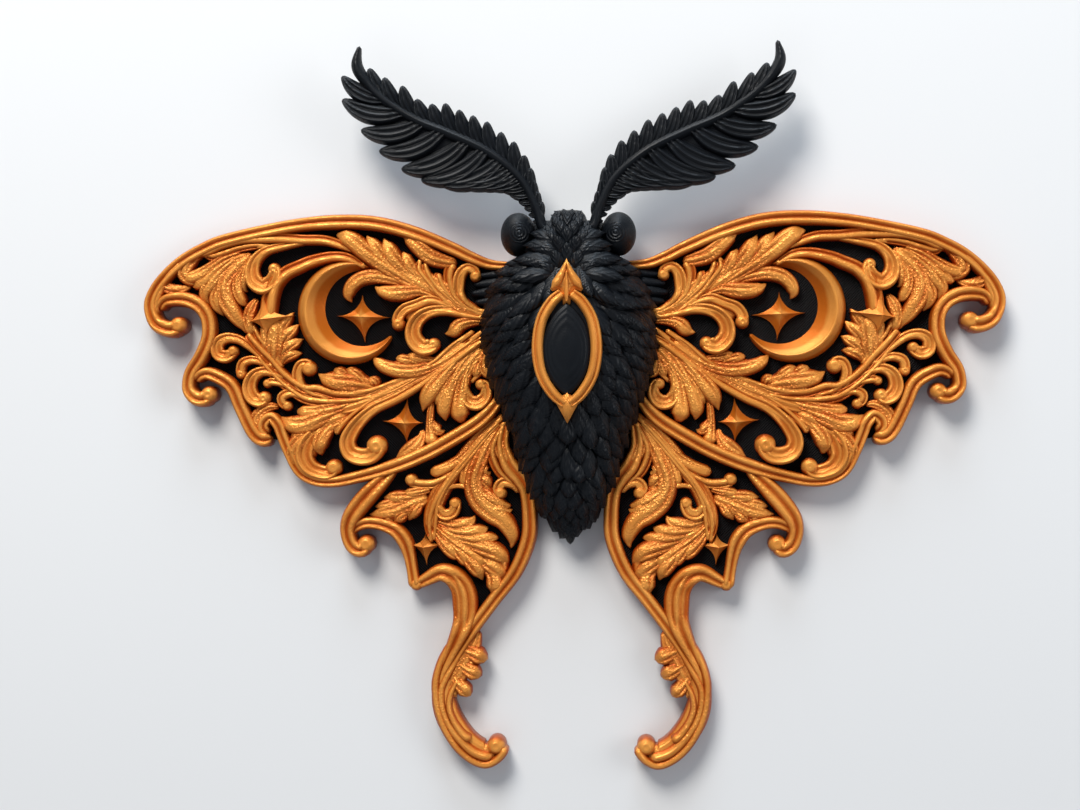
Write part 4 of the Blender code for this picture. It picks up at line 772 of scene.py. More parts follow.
def wingRelief(rims, volutes, stems, leaves, beds, knobs, star, level):
    mesh = reliefMesh()
    for stroke in beds:
        layStroke(mesh, stroke, bedTop, **strokeLook["bed"])
    for index, (outer, flat, stroke) in enumerate(rims):
        layStroke(mesh, stroke, tailTop if flat else rimTop, outer == "right",
                  lift=level + heightStep["rim"] * index,
                  bright=wingLook["flatBright"] if flat else 1.0, **strokeLook["rim"])
    for index, stroke in enumerate(volutes):
        layStroke(mesh, stroke, voluteTop, turnOf(stroke) > 0,
                  lift=heightStep["volute"] * (index % 4), **strokeLook["volute"])
        layEnd(mesh, stroke)
    for index, stroke in enumerate(stems):
        layStroke(mesh, stroke, stemTop, turnOf(stroke) > 0,
                  lift=heightStep["stem"] * (index % 4), **strokeLook["stem"])
    for index, stroke in enumerate(leaves):
        fuller = [(x, y, wingLook["leafSwell"] * width) for x, y, width in stroke]
        lift = heightStep["leaf"] * (index % 5) - wingLook["leafSunk"]
        layStroke(mesh, fuller, leafTop, lift=lift, **strokeLook["leaf"])
    for knob in knobs:
        layKnob(mesh, *knob, level - knobLook["rimSunk"],
                low=strokeLook["rim"]["low"], wall=strokeLook["rim"]["wall"])
    layStar(mesh, *star)
    return mesh


# tone: how much painted crest highlight, and how little painted shade, the star's faces get
starLook = {"hollow": 1.72, "height": 3.1, "wall": 0.55, "sunk": 0.4, "steps": 8, "tone": 0.9}


def layStar(mesh, centre, left, right, upper, lower, lift=0.0):
    # a fan from the apex to a hollow-sided outline, then the outline drawn down as a low wall
    look = starLook
    tips = [np.array(tip, float) for tip in (right, upper, left, lower)]
    middle = np.array(centre, float)
    outline, sharp = [], []
    for tip, following in zip(tips, tips[1:] + tips[:1]):
        for step in range(look["steps"]):
            t = step / look["steps"]
            outline.append(middle + (1 - t) ** look["hollow"] * (tip - middle)
                           + t ** look["hollow"] * (following - middle))
            sharp.append(step in (0, look["steps"] // 2))
    foot, wall = relief["foot"] + lift, relief["foot"] + lift + look["wall"]
    rim = [mesh.verts.new((*point, wall)) for point in outline]
    apex = mesh.verts.new((*middle, foot + look["height"]))
    edges = [mesh.edges.new((a, b)) for a, b in zip(rim, rim[1:] + rim[:1])]
    for edge in edges:
        mesh.faces.new((edge.verts[0], edge.verts[1], apex))
        edge.smooth = False
    for vert, ridge in zip(rim, sharp):
        if ridge:
            mesh.edges.get((vert, apex)).smooth = False
    drawn = bmesh.ops.extrude_edge_only(mesh, edges=edges)["geom"]
    lowest = [item for item in drawn if isinstance(item, bmesh.types.BMVert)]
    for vert in lowest:
        vert.co.z = relief["foot"] - look["sunk"]
    lowEdges = [item for item in drawn if isinstance(item, bmesh.types.BMEdge)
                and all(vert in lowest for vert in item.verts)]
    bmesh.ops.contextual_create(mesh, geom=lowEdges)
    # the star's rim and apex take one near-crest tone: little painted shade and some painted
    # highlight
    carve = mesh.verts.layers.float_color["carve"]
    for vert in rim + [apex]:
        vert[carve] = (look["tone"], 0, 0, 1)


stars = {       # middle, then the tips to the left, right, head and tail side
    "inner": ((54, 23), (46.5, 22.8), (60.3, 23.3), (53.7, 28.7), (53.1, 16.4)),
    "outer": ((79.6, 22.4), (71.3, 23.4), (82.9, 21.9), (79.2, 28.8), (78.3, 18.0), 2.5),
    "lower": ((42.7, -4.6), (38.0, -4.5), (48.6, -4), (42.1, 2.2), (42.2, -10)),
    "hind": ((38, -36.6), (32.9, -35.9), (41.5, -36), (37.5, -33), (37.2, -41.3)),
}
tailLook = {"low": 0.5, "wall": 4.6, "speckle": 0.6}
tailLifts = (0.7, 0.5, 0.9)

mesh = wingRelief(foreRims, foreVolutes, foreStems, foreLeaves, foreBeds, knobs["fore"],
                  stars["outer"], wingLook["foreLevel"])
addPair("foreScrollwork", mesh, silk, "orange_silk_plastic", "forewing_filigree")
print("forewing scrollwork laid")
mesh = wingRelief(hindRims, hindVolutes, hindStems, hindLeaves, hindBeds, knobs["hind"],
                  stars["hind"], wingLook["hindLevel"])
for stroke, lift in zip(tailBeads, tailLifts):
    layStroke(mesh, stroke, roundTop, lift=lift, **tailLook)
addPair("hindScrollwork", mesh, silk, "orange_silk_plastic", "hindwing_filigree")
print("hindwing scrollwork laid")

crescentLook = {    # two arcs: middle, radius, first and last degree
    "outer": (57.4, 24.3, 13.3, -150.4, 116.2), "inner": (53.7, 25.2, 9.9, -136.8, 99.6),
    "steps": 90, "thinnest": 0.35,
}


def crescentLine():
    # the line midway between the two arcs, as wide as they are apart
    points = []
    for share in np.linspace(0, 1, crescentLook["steps"]):
        ends = []
        for key in ("outer", "inner"):
            x, y, radius, first, last = crescentLook[key]
            angle = math.radians(first + share * (last - first))
            ends.append(np.array([x + radius * math.cos(angle), y + radius * math.sin(angle)]))
        width = max(crescentLook["thinnest"], np.hypot(*(ends[0] - ends[1])))
        points.append((*(ends[0] + ends[1]) / 2, width))
    return np.array(points)


mesh = reliefMesh()
layStroke(mesh, crescentLine(), crescentTop, flip=True)
addPair("crescent", mesh, silkSmooth, "orange_silk_plastic", "crescent")
for key in ("inner", "lower"):
    mesh = reliefMesh()
    layStar(mesh, *stars[key])
    addPair("star" + key.capitalize(), mesh, silkSmooth, "orange_silk_plastic", "star_" + key)
print("crescents and stars made")

for node in ("forewing_plate", "hindwing_plate"):
    for side in ("left", "right"):
        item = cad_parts[f"{node}_{side}"]
        item.data.materials.clear()
        item.data.materials.append(plate)


# Body: a smooth skin inside overlapping feather scales.
# y, half width, height of the wall, height of the crown
bodyRows = np.array((
    (-36.4, 0.7, 2.2, 3.4), (-32.9, 3.3, 4.5, 7.5), (-28.0, 6.4, 6.6, 10.5),
    (-22.9, 9.0, 7.6, 12.8), (-14.9, 11.4, 8.0, 15.0), (-7.4, 13.8, 8.0, 17.2),
    (0.5, 16.9, 8.0, 19.2), (8.5, 19.6, 8.0, 20.6), (18.0, 20.8, 8.0, 21.0),
    (26.2, 20.0, 8.0, 20.6), (30.0, 18.9, 8.0, 20.0), (33.5, 17.0, 8.0, 19.3),
    (36.0, 14.6, 8.0, 18.6), (38.5, 11.6, 8.0, 18.0), (40.5, 9.8, 8.0, 17.8),
    (43.4, 8.2, 8.0, 17.0), (46.5, 5.6, 8.0, 15.0), (48.6, 4.7, 8.0, 13.0), (49.8, 3.6, 8.0, 10.5),
))
smoothRows = smoothLine(bodyRows, 8)
bodyLook = {
    "skinInside": 0.5,          # the skin lies this far under the feathers' own surface
    "wallFall": 55.0,           # degrees past the wall that stand for the fall to the table
    "lift": 2.1, "rootSunk": 0.9, "cup": 0.85, "depth": 1.0, "lowest": 1.2,
    "along": 5, "across": 4, "rowStep": 3.4, "firstRow": 35.5, "lastRow": -29.5,
    "seed": 4, "turnBy": 9, "shiftBy": (0.5, 0.4), "lengthBy": (0.86, 1.12),
    "widthBy": (0.92, 1.12), "liftBy": (0.75, 1.25), "curl": -22, "fullLean": 84,
    "besideCameo": 0.55,        # feathers lie flatter beside the cameo
    "endRows": (-26, -14), "endLift": (0.5, 1),     # and towards the end of the body
    "sideAngle": -12, "waistAngle": -38,            # degrees at which a row ends
    "waistRows": (-25, -20), "endFrom": -26, "endReach": 3.2,
}
bakeMap = {"around": 60, "along": 90, "spread": 0.003}
skinLook = {"along": 70, "around": 40, "tailGap": 2.4, "headGap": 0.3}
# down the body: y, turn outwards, length, width and spacing of the feathers
featherRows = np.array((
    (36, 84, 10.4, 4.9, 3.6), (30, 66, 10.6, 5.0, 3.7), (22, 50, 10.6, 5.1, 3.8),
    (12, 34, 10.2, 5.3, 4.1), (2, 20, 9.8, 5.8, 4.5), (-8, 10, 9.2, 6.0, 4.7),
    (-18, -4, 8.4, 5.6, 4.4), (-24, -16, 7.0, 4.6, 3.7), (-30, -28, 4.8, 3.2, 2.7),
))


def bodySurface(y, degrees, grow=0.0):
    # the body's skin this many degrees round from the right wall, on down the walls past 0 and 180
    y = np.clip(y, smoothRows[0, 0], smoothRows[-1, 0])
    half, wall, crown = [np.interp(y, smoothRows[:, 0], smoothRows[:, k]) for k in (1, 2, 3)]
    angle = np.radians(np.clip(degrees, 0, 180))
    below = np.maximum(0, np.maximum(-degrees, degrees - 180)) / bodyLook["wallFall"]
    x = (half + grow) * np.cos(angle)
    z = wall * (1 - np.clip(below, 0, 1)) + (crown + grow - wall) * np.sin(angle)
    return np.stack([x, y + 0 * x, z], axis=-1)


# For each of many rows, the distance over the surface from the crown to each angle.
arcAngles = np.linspace(-bodyLook["wallFall"], 90, 80)
arcRows = np.linspace(smoothRows[0, 0], smoothRows[-1, 0], 120)
arcTable = []
for arcY in arcRows:
    ring = bodySurface(np.full(len(arcAngles), arcY), arcAngles)
    paces = np.linalg.norm(np.diff(ring, axis=0), axis=1)
    arcTable.append(np.concatenate([[0], np.cumsum(paces[::-1])]))
arcTable = np.array(arcTable)


def angleAt(y, arc):
    # degrees round the dome at a distance along it from the crown, to the right
    rows = np.clip((y - arcRows[0]) / (arcRows[1] - arcRows[0]), 0, len(arcRows) - 1.001)
    angles = np.empty(len(y))
    for i, (row, length) in enumerate(zip(rows, arc)):
        low = int(row)
        table = arcTable[low] + (row - low) * (arcTable[low + 1] - arcTable[low])
        angles[i] = 90 - np.sign(length) * (90 - np.interp(abs(length), table, arcAngles[::-1]))
    return angles


featherStations = np.array((        # share of the length, share of the width
    (0.0, 0.5), (0.28, 0.95), (0.52, 1.0), (0.74, 0.78), (0.9, 0.42), (1.0, 0.05),
))


def layFeather(mesh, y, arc, heading, length, width, layers, side=1, curve=0.0, lift=1.0):
    # heading is counted from straight down the body, outwards; the feather follows the dome
    look = bodyLook
    made, rows, columns = grid(mesh, look["along"], look["across"])
    stations, shares = featherStations.T
    turns = np.radians(heading + curve * (stations - 0.4))
    between = (turns[1:] + turns[:-1]) / 2
    paces = np.diff(stations) * length
    arcLine = arc + np.concatenate([[0], np.cumsum(paces * np.sin(between))])
    yLine = y - np.concatenate([[0], np.cumsum(paces * np.cos(between))])
    a, c = stations[rows], columns / look["across"] * 2 - 1
    q = c * width / 2 * shares[rows]
    arcs = arcLine[rows] + q * np.cos(turns[rows])
    ys = yLine[rows] + q * np.sin(turns[rows])
    rise = (look["rootSunk"] + look["lift"] * lift) * a**0.8
    grow = -look["rootSunk"] + rise - look["cup"] * c**2 * (0.4 + 0.6 * lift) + 0.16 * (c == 0)
    points = bodySurface(ys, angleAt(ys, arcs), grow)
    points[:, 0] *= side
    points[:, 2] = np.maximum(points[:, 2], look["lowest"])
    moveTo(made, points)
    faces = list({face for vert in made for face in vert.link_faces})
    spots = {vert: (column / look["across"], row / look["along"])
             for vert, row, column in zip(made, rows, columns)}
    edges = list({edge for face in faces for edge in face.edges if len(edge.link_faces) == 1})
    # the edge is drawn inwards for the feather's thickness, and closed below
    drawn = bmesh.ops.extrude_edge_only(mesh, edges=edges)["geom"]
    lowered = {item for item in drawn if isinstance(item, bmesh.types.BMVert)}
    for vert in lowered:
        half = float(np.interp(vert.co.y, smoothRows[:, 0], smoothRows[:, 1]))
        vert.co -= look["depth"] * Vector((vert.co.x / half, 0, 0.7)).normalized()
    lowerEdges = [item for item in drawn
                  if isinstance(item, bmesh.types.BMEdge) and set(item.verts) <= lowered]
    closed = bmesh.ops.contextual_create(mesh, geom=lowerEdges)["faces"]
    barbs, bake = layers
    rootU = 0.5 - side * arc / bakeMap["around"]
    rootV = (y - bodyRows[0, 0]) / bakeMap["along"]
    walls = [item for item in drawn if isinstance(item, bmesh.types.BMFace)]
    for face in faces + walls + closed:
        for loop in face.loops:
            across, along = spots.get(loop.vert, (0.5, 0.1))
            loop[barbs].uv = (across, along)
            loop[bake].uv = (rootU + bakeMap["spread"] * (across - 0.5),
                             rootV + bakeMap["spread"] * (along - 0.5))


# the room that the cameo takes: half axes of ovals, and the half width and ends of its shaft
cameoRoom = {"y": 14, "under": (7.4, 14.6), "beside": (11, 20), "shaft": (2.0, -3.0, 34)}


def inOval(x, y, across, along):
    return (x / across) ** 2 + ((y - cameoRoom["y"]) / along) ** 2 < 1


def underCameo(x, y):
    half, low, high = cameoRoom["shaft"]
    return inOval(x, y, *cameoRoom["under"]) or (abs(x) < half and low < y < high)


def rowReach(y):
    # how far from the crown a row's last feather may stand
    look = bodyLook
    if y <= look["endFrom"]:
        return look["endReach"]
    low, high = look["waistRows"]
    lowest = look["waistAngle"] if low <= y <= high else look["sideAngle"]
    row = int((y - arcRows[0]) / (arcRows[1] - arcRows[0]))
    return float(np.interp(lowest, arcAngles, arcTable[row][::-1]))


def layFeathers():
    look = bodyLook
    chance = np.random.default_rng(look["seed"])
    mesh = bmesh.new()
    layers = (mesh.loops.layers.uv.new("featherMap"), mesh.loops.layers.uv.new("OFBake"))
    count = 0
    for index, y in enumerate(np.arange(look["firstRow"], look["lastRow"], -look["rowStep"])):
        lean, length, width, spacing = [np.interp(-y, -featherRows[:, 0], column)
                                        for column in featherRows.T[1:]]
        arcs = np.arange(0 if index % 2 else spacing / 2, rowReach(y), spacing)[::-1]
        for arc, side in itertools.product(arcs, (1, -1)):
            if arc == 0 and side < 0:
                continue
            turned = chance.uniform(-look["turnBy"], look["turnBy"]) if arc else 0
            heading = lean * min(1, arc / 6) + turned
            atRoot = bodySurface(np.array([y]), angleAt(np.array([y]), np.array([arc])))[0]
            middleX = atRoot[0] + 0.45 * length * math.sin(math.radians(heading))
            middleY = y - 0.45 * length * math.cos(math.radians(heading))
            if underCameo(middleX, middleY):
                continue
            flatter = float(np.interp(y, look["endRows"], look["endLift"]))
            if inOval(middleX, middleY, *cameoRoom["beside"]):
                flatter = look["besideCameo"]
            down, out = look["shiftBy"]
            layFeather(
                mesh, y + chance.uniform(-down, down),
                arc + (chance.uniform(-out, out) if arc else 0), heading,
                length * chance.uniform(*look["lengthBy"]),
                width * chance.uniform(*look["widthBy"]), layers, side,
                look["curl"] * lean / look["fullLean"], flatter * chance.uniform(*look["liftBy"]))
            count += 1
    for y, arc, heading, length, width, curve, lift in browFeathers + headFeathers + endFeathers:
        for side in (1, -1) if arc else (1,):
            layFeather(mesh, y, arc, heading, length, width, layers, side, curve, lift)
            count += 1
    print(count, "feathers laid")
    return mesh


# y, distance from the middle, heading, length, width, curve, lift
browFeathers = [
    (36.2, 1.6, 122, 10.4, 5.2, -74, 1.6), (34.4, 2.0, 106, 11.0, 5.2, -56, 1.6),
    (32.4, 2.8, 88, 10.6, 4.8, -40, 1.5), (37.8, 2.6, 140, 9.0, 4.8, -80, 1.5),
    (35.4, 6.4, 96, 9.8, 4.8, -40, 1.3), (38.0, 6.2, 112, 7.8, 4.2, -44, 1.2),
]
headFeathers = [
    (44.2, 0, 180, 4.4, 3.1, 0, 0.7), (44.0, 2.7, 168, 4.2, 3.0, 0, 0.7),
    (43.4, 5.0, 154, 3.8, 2.6, 0, 0.6), (41.6, 1.4, 176, 5.0, 3.4, 0, 0.8),
    (41.0, 4.2, 158, 4.8, 3.2, 0, 0.8), (40.0, 6.6, 140, 4.4, 3.0, 0, 0.7),
    (38.9, 0, 180, 5.8, 3.7, 0, 1.0), (38.5, 2.9, 164, 5.6, 3.6, 0, 1.0),
    (37.6, 5.6, 146, 5.2, 3.4, 0, 0.9), (36.4, 1.5, 172, 6.2, 4.0, 0, 1.1),
    (47.0, 0.9, 178, 2.7, 2.2, 0, 0.5), (46.7, 2.7, 172, 2.6, 2.2, 0, 0.5),
    (34.6, 0, 180, 6.0, 4.2, 0, 0.7), (33.6, 2.0, 168, 5.4, 3.8, -20, 0.7),
    (32.2, 3.4, 140, 5.6, 3.6, -40, 0.7),
]
endFeathers = [
    (-30.0, 0, 0, 5.8, 3.0, 0, 0.6), (-28.8, 1.7, -14, 5.2, 3.0, 0, 0.5),
    (-27.2, 3.0, -18, 5.6, 3.2, 0, 0.5),
]


def laySkin():
    # a tube over the body, a little short of its ends, which the feathers cover
    mesh = bmesh.new()
    along, around, fall = skinLook["along"], skinLook["around"], bodyLook["wallFall"]
    made, rows, columns = grid(mesh, along, around)
    tail, head = smoothRows[0, 0] + skinLook["tailGap"], smoothRows[-1, 0] - skinLook["headGap"]
    ys = np.linspace(tail, head, along + 1)[rows]
    degrees = np.linspace(-fall, 180 + fall, around + 1)[columns]
    moveTo(made, bodySurface(ys, degrees, -bodyLook["skinInside"]))
    bmesh.ops.holes_fill(mesh, edges=[edge for edge in mesh.edges if len(edge.link_faces) == 1])
    return mesh


addPiece("bodySkin", finishMesh(laySkin(), "bodySkin"), black, "black_plastic",
         "abdomen", "thorax", "head")
addPiece("bodyFeathers", finishMesh(layFeathers(), "bodyFeathers", mergeWithin=0.0), feathered,
         "black_plastic")

eyeLook = {
    "centre": (12.75, 43.4, 9.6), "radii": (4.5, 5.6, 6.0),
    "socket": ((5.5, 43.0, 7.0), (8.5, 43.2, 7.0), (11.5, 43.4, 6.0)),
}
mesh = reliefMesh()
ball = bmesh.ops.create_uvsphere(mesh, u_segments=64, v_segments=40, radius=1)["verts"]
bmesh.ops.scale(mesh, vec=eyeLook["radii"], verts=ball)
bmesh.ops.translate(mesh, vec=eyeLook["centre"], verts=ball)
layStroke(mesh, eyeLook["socket"], roundTop, low=3.5, wall=7.5, ground=7.5, tall=0.8)
addPair("eye", mesh, ringed, "black_plastic", "eye")

shoulderScales = (      # middle, reach to each side, half width
    (18.5, 33.8, 5, 1.5), (19.5, 31.5, 5.4, 1.7), (20.6, 29.2, 5, 1.8), (20.6, 26.9, 4, 1.5),
)
mesh = reliefMesh()
for x, y, reach, half in shoulderScales:
    scale = ((x - reach, y, 1.4), (x - reach / 2, y, 2 * half), (x, y - 0.1, 1.9 * half),
             (x + reach, y - 0.4, 1.2))
    layStroke(mesh, scale, roundTop, tall=0.9)
addPair("shoulderScales", mesh, black, "black_plastic", "shoulder_scales")
print("body, eyes and shoulder scales made")


# Feelers: a rib with an upper and a lower comb of vanes, root and tip of each.
feelerLook = {
    "level": 11.2, "wall": 11.5, "tilt": 0.3, "sunk": 1.2, "stagger": 0.03,
    "upperWidth": 4.0, "upperCurl": -0.08, "lowerWidth": 6.3, "lowerCurl": -0.13,
    "narrow": (1.0, 0.36), "lowerNarrow": (0.9, 0.32),      # width of a short vane by its length
    "vaneTall": 0.56, "vaneStep": 0.5, "webTall": 0.1,
    "ribTall": 0.7, "ribOver": 0.4, "ribGround": 0.6,
}
vaneShape = ((0, 0.6), (0.25, 0.9), (0.5, 1.0), (0.72, 0.84), (0.9, 0.5), (1, 0.14))
feelerRib = (
    (4.6, 43.4, 3.0), (6.6, 45.6, 2.8), (8, 50, 2.5), (12, 57.5, 2.6), (20, 64.2, 2.8),
    (30, 69, 2.9), (38.5, 72.6, 2.8), (46, 77.3, 2.6), (50.3, 81.4, 2.7), (53.6, 86.4, 3.0),
    (53, 91.7, 0.9),
)
feelerWeb = (
    (9, 51.6, 2.6), (13.2, 57.4, 5.0), (21, 62.8, 7.4), (30.9, 67.4, 8.4), (39.5, 70.8, 8.2),
    (46.8, 76.4, 6.4),
)
upperVanes = (
    ((7.2, 47.5), (6.3, 51.6)), ((7.8, 49.5), (7.4, 54.3)), ((8.5, 52), (8.6, 57.4)),
    ((9.3, 54), (9.2, 60.2)), ((10.5, 56), (10.8, 63.5)), ((12.3, 58.5), (13.5, 67)),
    ((15, 61), (16.8, 69.5)), ((18, 63.3), (20.4, 72.2)), ((21.3, 65.3), (24, 73.8)),
    ((24.7, 67), (27.5, 75.3)), ((28, 68.6), (31, 77)), ((31.5, 70), (34.5, 76.9)),
    ((35, 71.5), (38.3, 78.2)), ((38.5, 73), (42, 81.6)), ((42.5, 75.5), (46.6, 83.8)),
    ((45, 77), (48.3, 82.5)), ((46.5, 78.5), (50.4, 86.2)),
)
lowerVanes = (
    ((6.4, 45.4), (8.0, 44.8)), ((7.0, 47.2), (9.0, 46.6)), ((7.6, 49), (10.1, 48.4)),
    ((8.2, 50.6), (11.2, 50.1)), ((9, 52), (12.6, 51.8)), ((10, 53.9), (15, 53.8)),
    ((11, 55.8), (17.8, 55.7)), ((12.5, 57.5), (21.9, 56.7)), ((13.7, 58.8), (25.6, 57.2)),
    ((15.5, 60), (28.8, 57.1)), ((18, 62), (33, 56.8)), ((22, 64.5), (37.5, 57.5)),
    ((27, 66.5), (42.5, 60.3)), ((33, 69.5), (48.2, 65)), ((38, 72), (52.8, 70.4)),
    ((43, 75), (57.5, 78.3)), ((47.5, 78.5), (57.5, 84.3)),
)


def layVane(mesh, root, tip, width, curl, lift):
    look = feelerLook
    root, tip = np.array(root), np.array(tip)
    reach = tip - root
    length = math.hypot(*reach) + look["sunk"]
    root = root - reach * look["sunk"] / length       # the root lies inside the rib
    reach = tip - root
    side = np.array([-reach[1], reach[0]]) / length
    base, share = look["narrow"]
    width = min(width, base + share * length)
    points = []
    for share, part in vaneShape:
        bow = 4 * share * (1 - share) * curl * length
        points.append((*(root + reach * share + side * bow), width * part))
    layStroke(mesh, points, vaneTop, low=look["level"] + lift, wall=look["wall"] + lift,
              ground=look["wall"] + lift, tall=look["vaneTall"], step=look["vaneStep"],
              tilt=look["tilt"], ends=(0, 1))


def layFeeler():
    look = feelerLook
    mesh = reliefMesh()
    for index, (root, tip) in enumerate(upperVanes):
        lift = look["stagger"] * (index % 2)
        layVane(mesh, root, tip, look["upperWidth"], look["upperCurl"], lift)
    base, share = look["lowerNarrow"]
    for index, (root, tip) in enumerate(lowerVanes):
        lift = look["stagger"] * (index % 2)
        spread = min(look["lowerWidth"], base + share * math.dist(root, tip))
        layVane(mesh, root, tip, spread, look["lowerCurl"], lift)
    layStroke(mesh, feelerWeb, roundTop, low=look["level"], wall=look["wall"], ground=look["wall"],
              tall=look["webTall"])
    layStroke(mesh, feelerRib, roundTop, low=look["level"], wall=look["wall"] + look["ribOver"],
              ground=look["wall"] + look["ribGround"], tall=look["ribTall"])
    return mesh


addPair("feeler", layFeeler(), black, "black_plastic", "antenna")
print("feelers made")


# Cameo: a pointed oval frame of two beads, an arrow above and a drop below, round a domed stone.
cameoLook = {
    "foot": 17.9, "wall": 19.8, "crest": 22.4, "pointWall": 1.6, "arrowUnder": 0.9,
    "barbFoot": 20.8, "shaftFoot": 21.2, "stoneFoot": 20.5, "stoneTop": 22.1, "stoneRings": 14,
}
cameoRing = (
    (1.0, 28.0, 2.6), (3.8, 25.6, 2.9), (6.4, 20.9, 2.9), (7.3, 14, 3.0), (6.3, 7.6, 2.9),
    (3.6, 2.9, 2.8), (0.4, 0.0, 2.4),
)
cameoBarb = (
    (0.1, 35.6, 0.7), (0.9, 33.4, 1.5), (1.9, 31.4, 2.2), (2.9, 29.9, 2.2), (3.8, 28.8, 1.2),
)
cameoShaft = ((0, 33.4, 0.5), (0, 30, 1.1), (0, 27.6, 1.3), (0, 25.4, 0.7))
# right halves of outlines
cameoArrow = (
    (0, 36.5), (0.8, 34.4), (1.9, 32.0), (3.1, 30.3), (4.1, 28.9), (3.6, 28.3), (2.5, 28.6),
    (1.7, 28.4), (1.1, 27.0), (0.9, 25.0),
)
cameoDrop = ((0, 4.2), (0.7, 2.6), (1.9, 1.9), (3.5, 2.1), (2.5, 0.0), (1.4, -2.0), (0, -4.6))
cameoStone = (
    (0, 26.2), (2.6, 23.9), (4.9, 20.4), (6.2, 16.4), (6.3, 12.4), (5.4, 8.0), (3.2, 4.2), (0, 1.8),
)


def ringTop(u, share, width):
    two = beads(u, ((-0.3, 0.7, 1.0), (0.68, 0.33, 0.8)))
    return np.maximum(two, 0.55 * dome(u))


def flipped(stroke, side):
    return [(side * x, y, width) for x, y, width in stroke]


def wholeOutline(half):
    return list(half) + [(-x, y) for x, y in reversed(half) if x > 0]


def layPoint(mesh, half, apex):
    # a raised point: a fan from its apex to its outline, and the outline drawn down to the foot
    shoulder = cameoLook["crest"] - cameoLook["pointWall"]
    verts = [mesh.verts.new((x, y, shoulder)) for x, y in wholeOutline(half)]
    edges = [mesh.edges.new((a, b)) for a, b in zip(verts, verts[1:] + verts[:1])]
    peak = mesh.verts.new(apex)
    for edge in edges:
        mesh.faces.new((edge.verts[0], edge.verts[1], peak))
    for item in bmesh.ops.extrude_edge_only(mesh, edges=edges)["geom"]:
        if isinstance(item, bmesh.types.BMVert):
            item.co.z = cameoLook["foot"]


def layFrame():
    look = cameoLook
    mesh = reliefMesh()
    for side in (1, -1):
        layStroke(mesh, flipped(cameoRing, side), ringTop, side < 0, low=look["foot"],
                  wall=look["wall"], ground=look["wall"], tall=0.95, step=0.4, ends=(0.4, 0.4))
    layPoint(mesh, cameoArrow, (0, 31.5, look["crest"] - look["arrowUnder"]))
    layPoint(mesh, cameoDrop, (0, 0.8, look["crest"]))
    for side in (1, -1):
        layStroke(mesh, flipped(cameoBarb, side), roundTop, low=look["foot"], wall=look["barbFoot"],
                  ground=look["barbFoot"], tall=0.75, step=0.3, point=0.8)
    layStroke(mesh, cameoShaft, roundTop, low=look["foot"], wall=look["shaftFoot"],
              ground=look["shaftFoot"], tall=0.75, step=0.3)
    return mesh


def layStone():
    # rings that narrow to the middle, the outermost standing on the foot
    look = cameoLook
    mesh = bmesh.new()
    outline = wholeOutline(cameoStone)
    curve = smoothLine(outline + outline[:1], 6)[:-1]
    middle = curve.mean(axis=0)
    rings, around = look["stoneRings"], len(curve)
    made, rows, columns = grid(mesh, rings, around)
    share = (1 - rows / rings)[:, None]
    ring = curve[columns % around]
    points = np.column_stack([middle + (ring - middle) * share, np.zeros(len(made))])
    bowl = np.sqrt(np.clip(1 - (share[:, 0] * 0.96) ** 2, 0, 1))
    points[:, 2] = np.where(
        rows == 0, look["foot"], look["stoneFoot"] + (look["stoneTop"] - look["stoneFoot"]) * bowl)
    moveTo(made, points)
    return mesh


addPiece("cameoFrame", finishMesh(layFrame(), "cameoFrame"), silkSmooth, "orange_silk_plastic",
         "cameo_frame")
addPiece("cameoStone", finishMesh(layStone(), "cameoStone"), black, "black_plastic", "cameo_stone")
print("cameo made")


# Stage: pale floor, soft light from the head side, the photo's own point of view.
stageLook = {
    "floorSize": 3.0, "floorDrop": 0.0004, "floor": (0.62, 0.62, 0.615, 1),
    "world": (0.80, 0.87, 1.0, 1), "worldStrength": 0.31,
}
lights = (      # name, place, aim, size, watts, colour
    ("sky", (-0.3, 0.8, 0.75), (0, 0, 0), 0.5, 15, (1.0, 0.97, 0.93)),
    ("edge", (0.0, 1.0, 0.26), (0, 0, 0.01), 0.5, 10, (0.72, 0.86, 1.0)),
    ("side", (0.9, 0.1, 0.6), (0, 0, 0), 0.6, 3.5, (0.95, 0.97, 1.0)),
    ("front", (-0.3, -0.7, 1.0), (0, 0, 0), 0.9, 1.2, (0.97, 0.98, 1.0)),
)


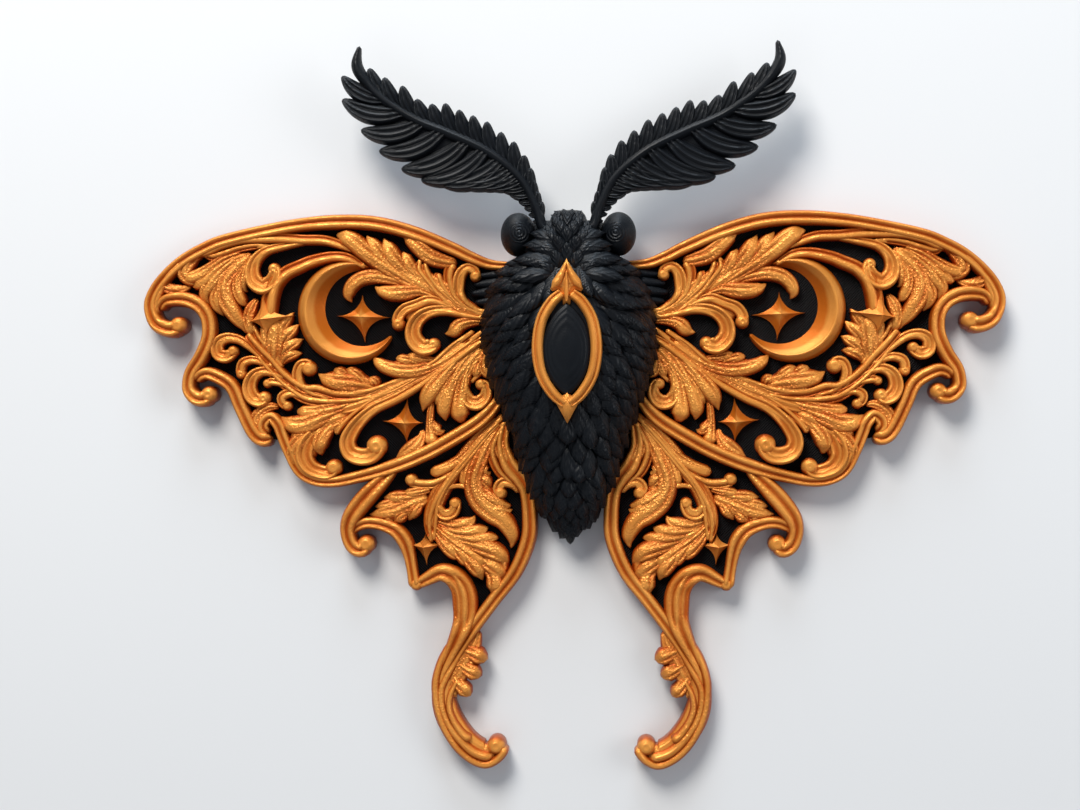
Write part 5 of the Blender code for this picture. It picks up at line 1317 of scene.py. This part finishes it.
def addFloor():
    mesh = bmesh.new()
    bmesh.ops.create_grid(mesh, x_segments=4, y_segments=4, size=stageLook["floorSize"] / 2)
    bmesh.ops.translate(mesh, vec=(0, 0, -stageLook["floorDrop"]), verts=mesh.verts[:])
    data = bpy.data.meshes.new("floor")
    mesh.to_mesh(data)
    mesh.free()
    floor = bpy.data.objects.new("floor", data)
    bpy.context.scene.collection.objects.link(floor)
    finish = Finish("paleFloor")
    finish.wire(finish.shader, {"Base Color": stageLook["floor"], "Roughness": 0.85})
    data.materials.append(finish.material)


def addLight(name, place, aim, size, watts, colour):
    lamp = bpy.data.lights.new(name, "AREA")
    lamp.shape, lamp.size, lamp.energy, lamp.color = "DISK", size, watts, colour
    item = bpy.data.objects.new(name, lamp)
    bpy.context.scene.collection.objects.link(item)
    item.location = place
    item.rotation_euler = (Vector(aim) - Vector(place)).to_track_quat("-Z", "Y").to_euler()


def addWorld():
    world = bpy.data.worlds.new("studio")
    world.use_nodes = True
    background = world.node_tree.nodes["Background"].inputs
    background["Color"].default_value = stageLook["world"]
    background["Strength"].default_value = stageLook["worldStrength"]
    bpy.context.scene.world = world
    bpy.context.scene.view_settings.view_transform = "Standard"


cameraLook = {      # degrees and millimetres
    "aim": (-7.603, shiftY, 6.0), "distance": 487.8, "tilt": 3.31, "roll": -0.232, "lens": 63.33,
    "sensor": 36,
}


def addCamera():
    tilt, roll = math.radians(cameraLook["tilt"]), math.radians(cameraLook["roll"])
    back = Vector((math.sin(tilt), 0, math.cos(tilt)))
    right = Vector((math.cos(tilt), 0, -math.sin(tilt)))
    up = Vector((0, 1, 0))
    turnedRight = math.cos(roll) * right + math.sin(roll) * up
    turnedUp = math.cos(roll) * up - math.sin(roll) * right
    camera = bpy.data.objects.new("camera", bpy.data.cameras.new("camera"))
    bpy.context.scene.collection.objects.link(camera)
    camera.data.lens = cameraLook["lens"]
    camera.data.sensor_width = cameraLook["sensor"]
    camera.data.clip_start = 0.02
    place = (Vector(cameraLook["aim"]) + back * cameraLook["distance"]) * millimetre
    camera.matrix_world = Matrix((
        (turnedRight.x, turnedUp.x, back.x, place.x),
        (turnedRight.y, turnedUp.y, back.y, place.y),
        (turnedRight.z, turnedUp.z, back.z, place.z),
        (0, 0, 0, 1),
    ))
    bpy.context.scene.camera = camera


addFloor()
for light in lights:
    addLight(*light)
addWorld()
addCamera()
print("stage set")
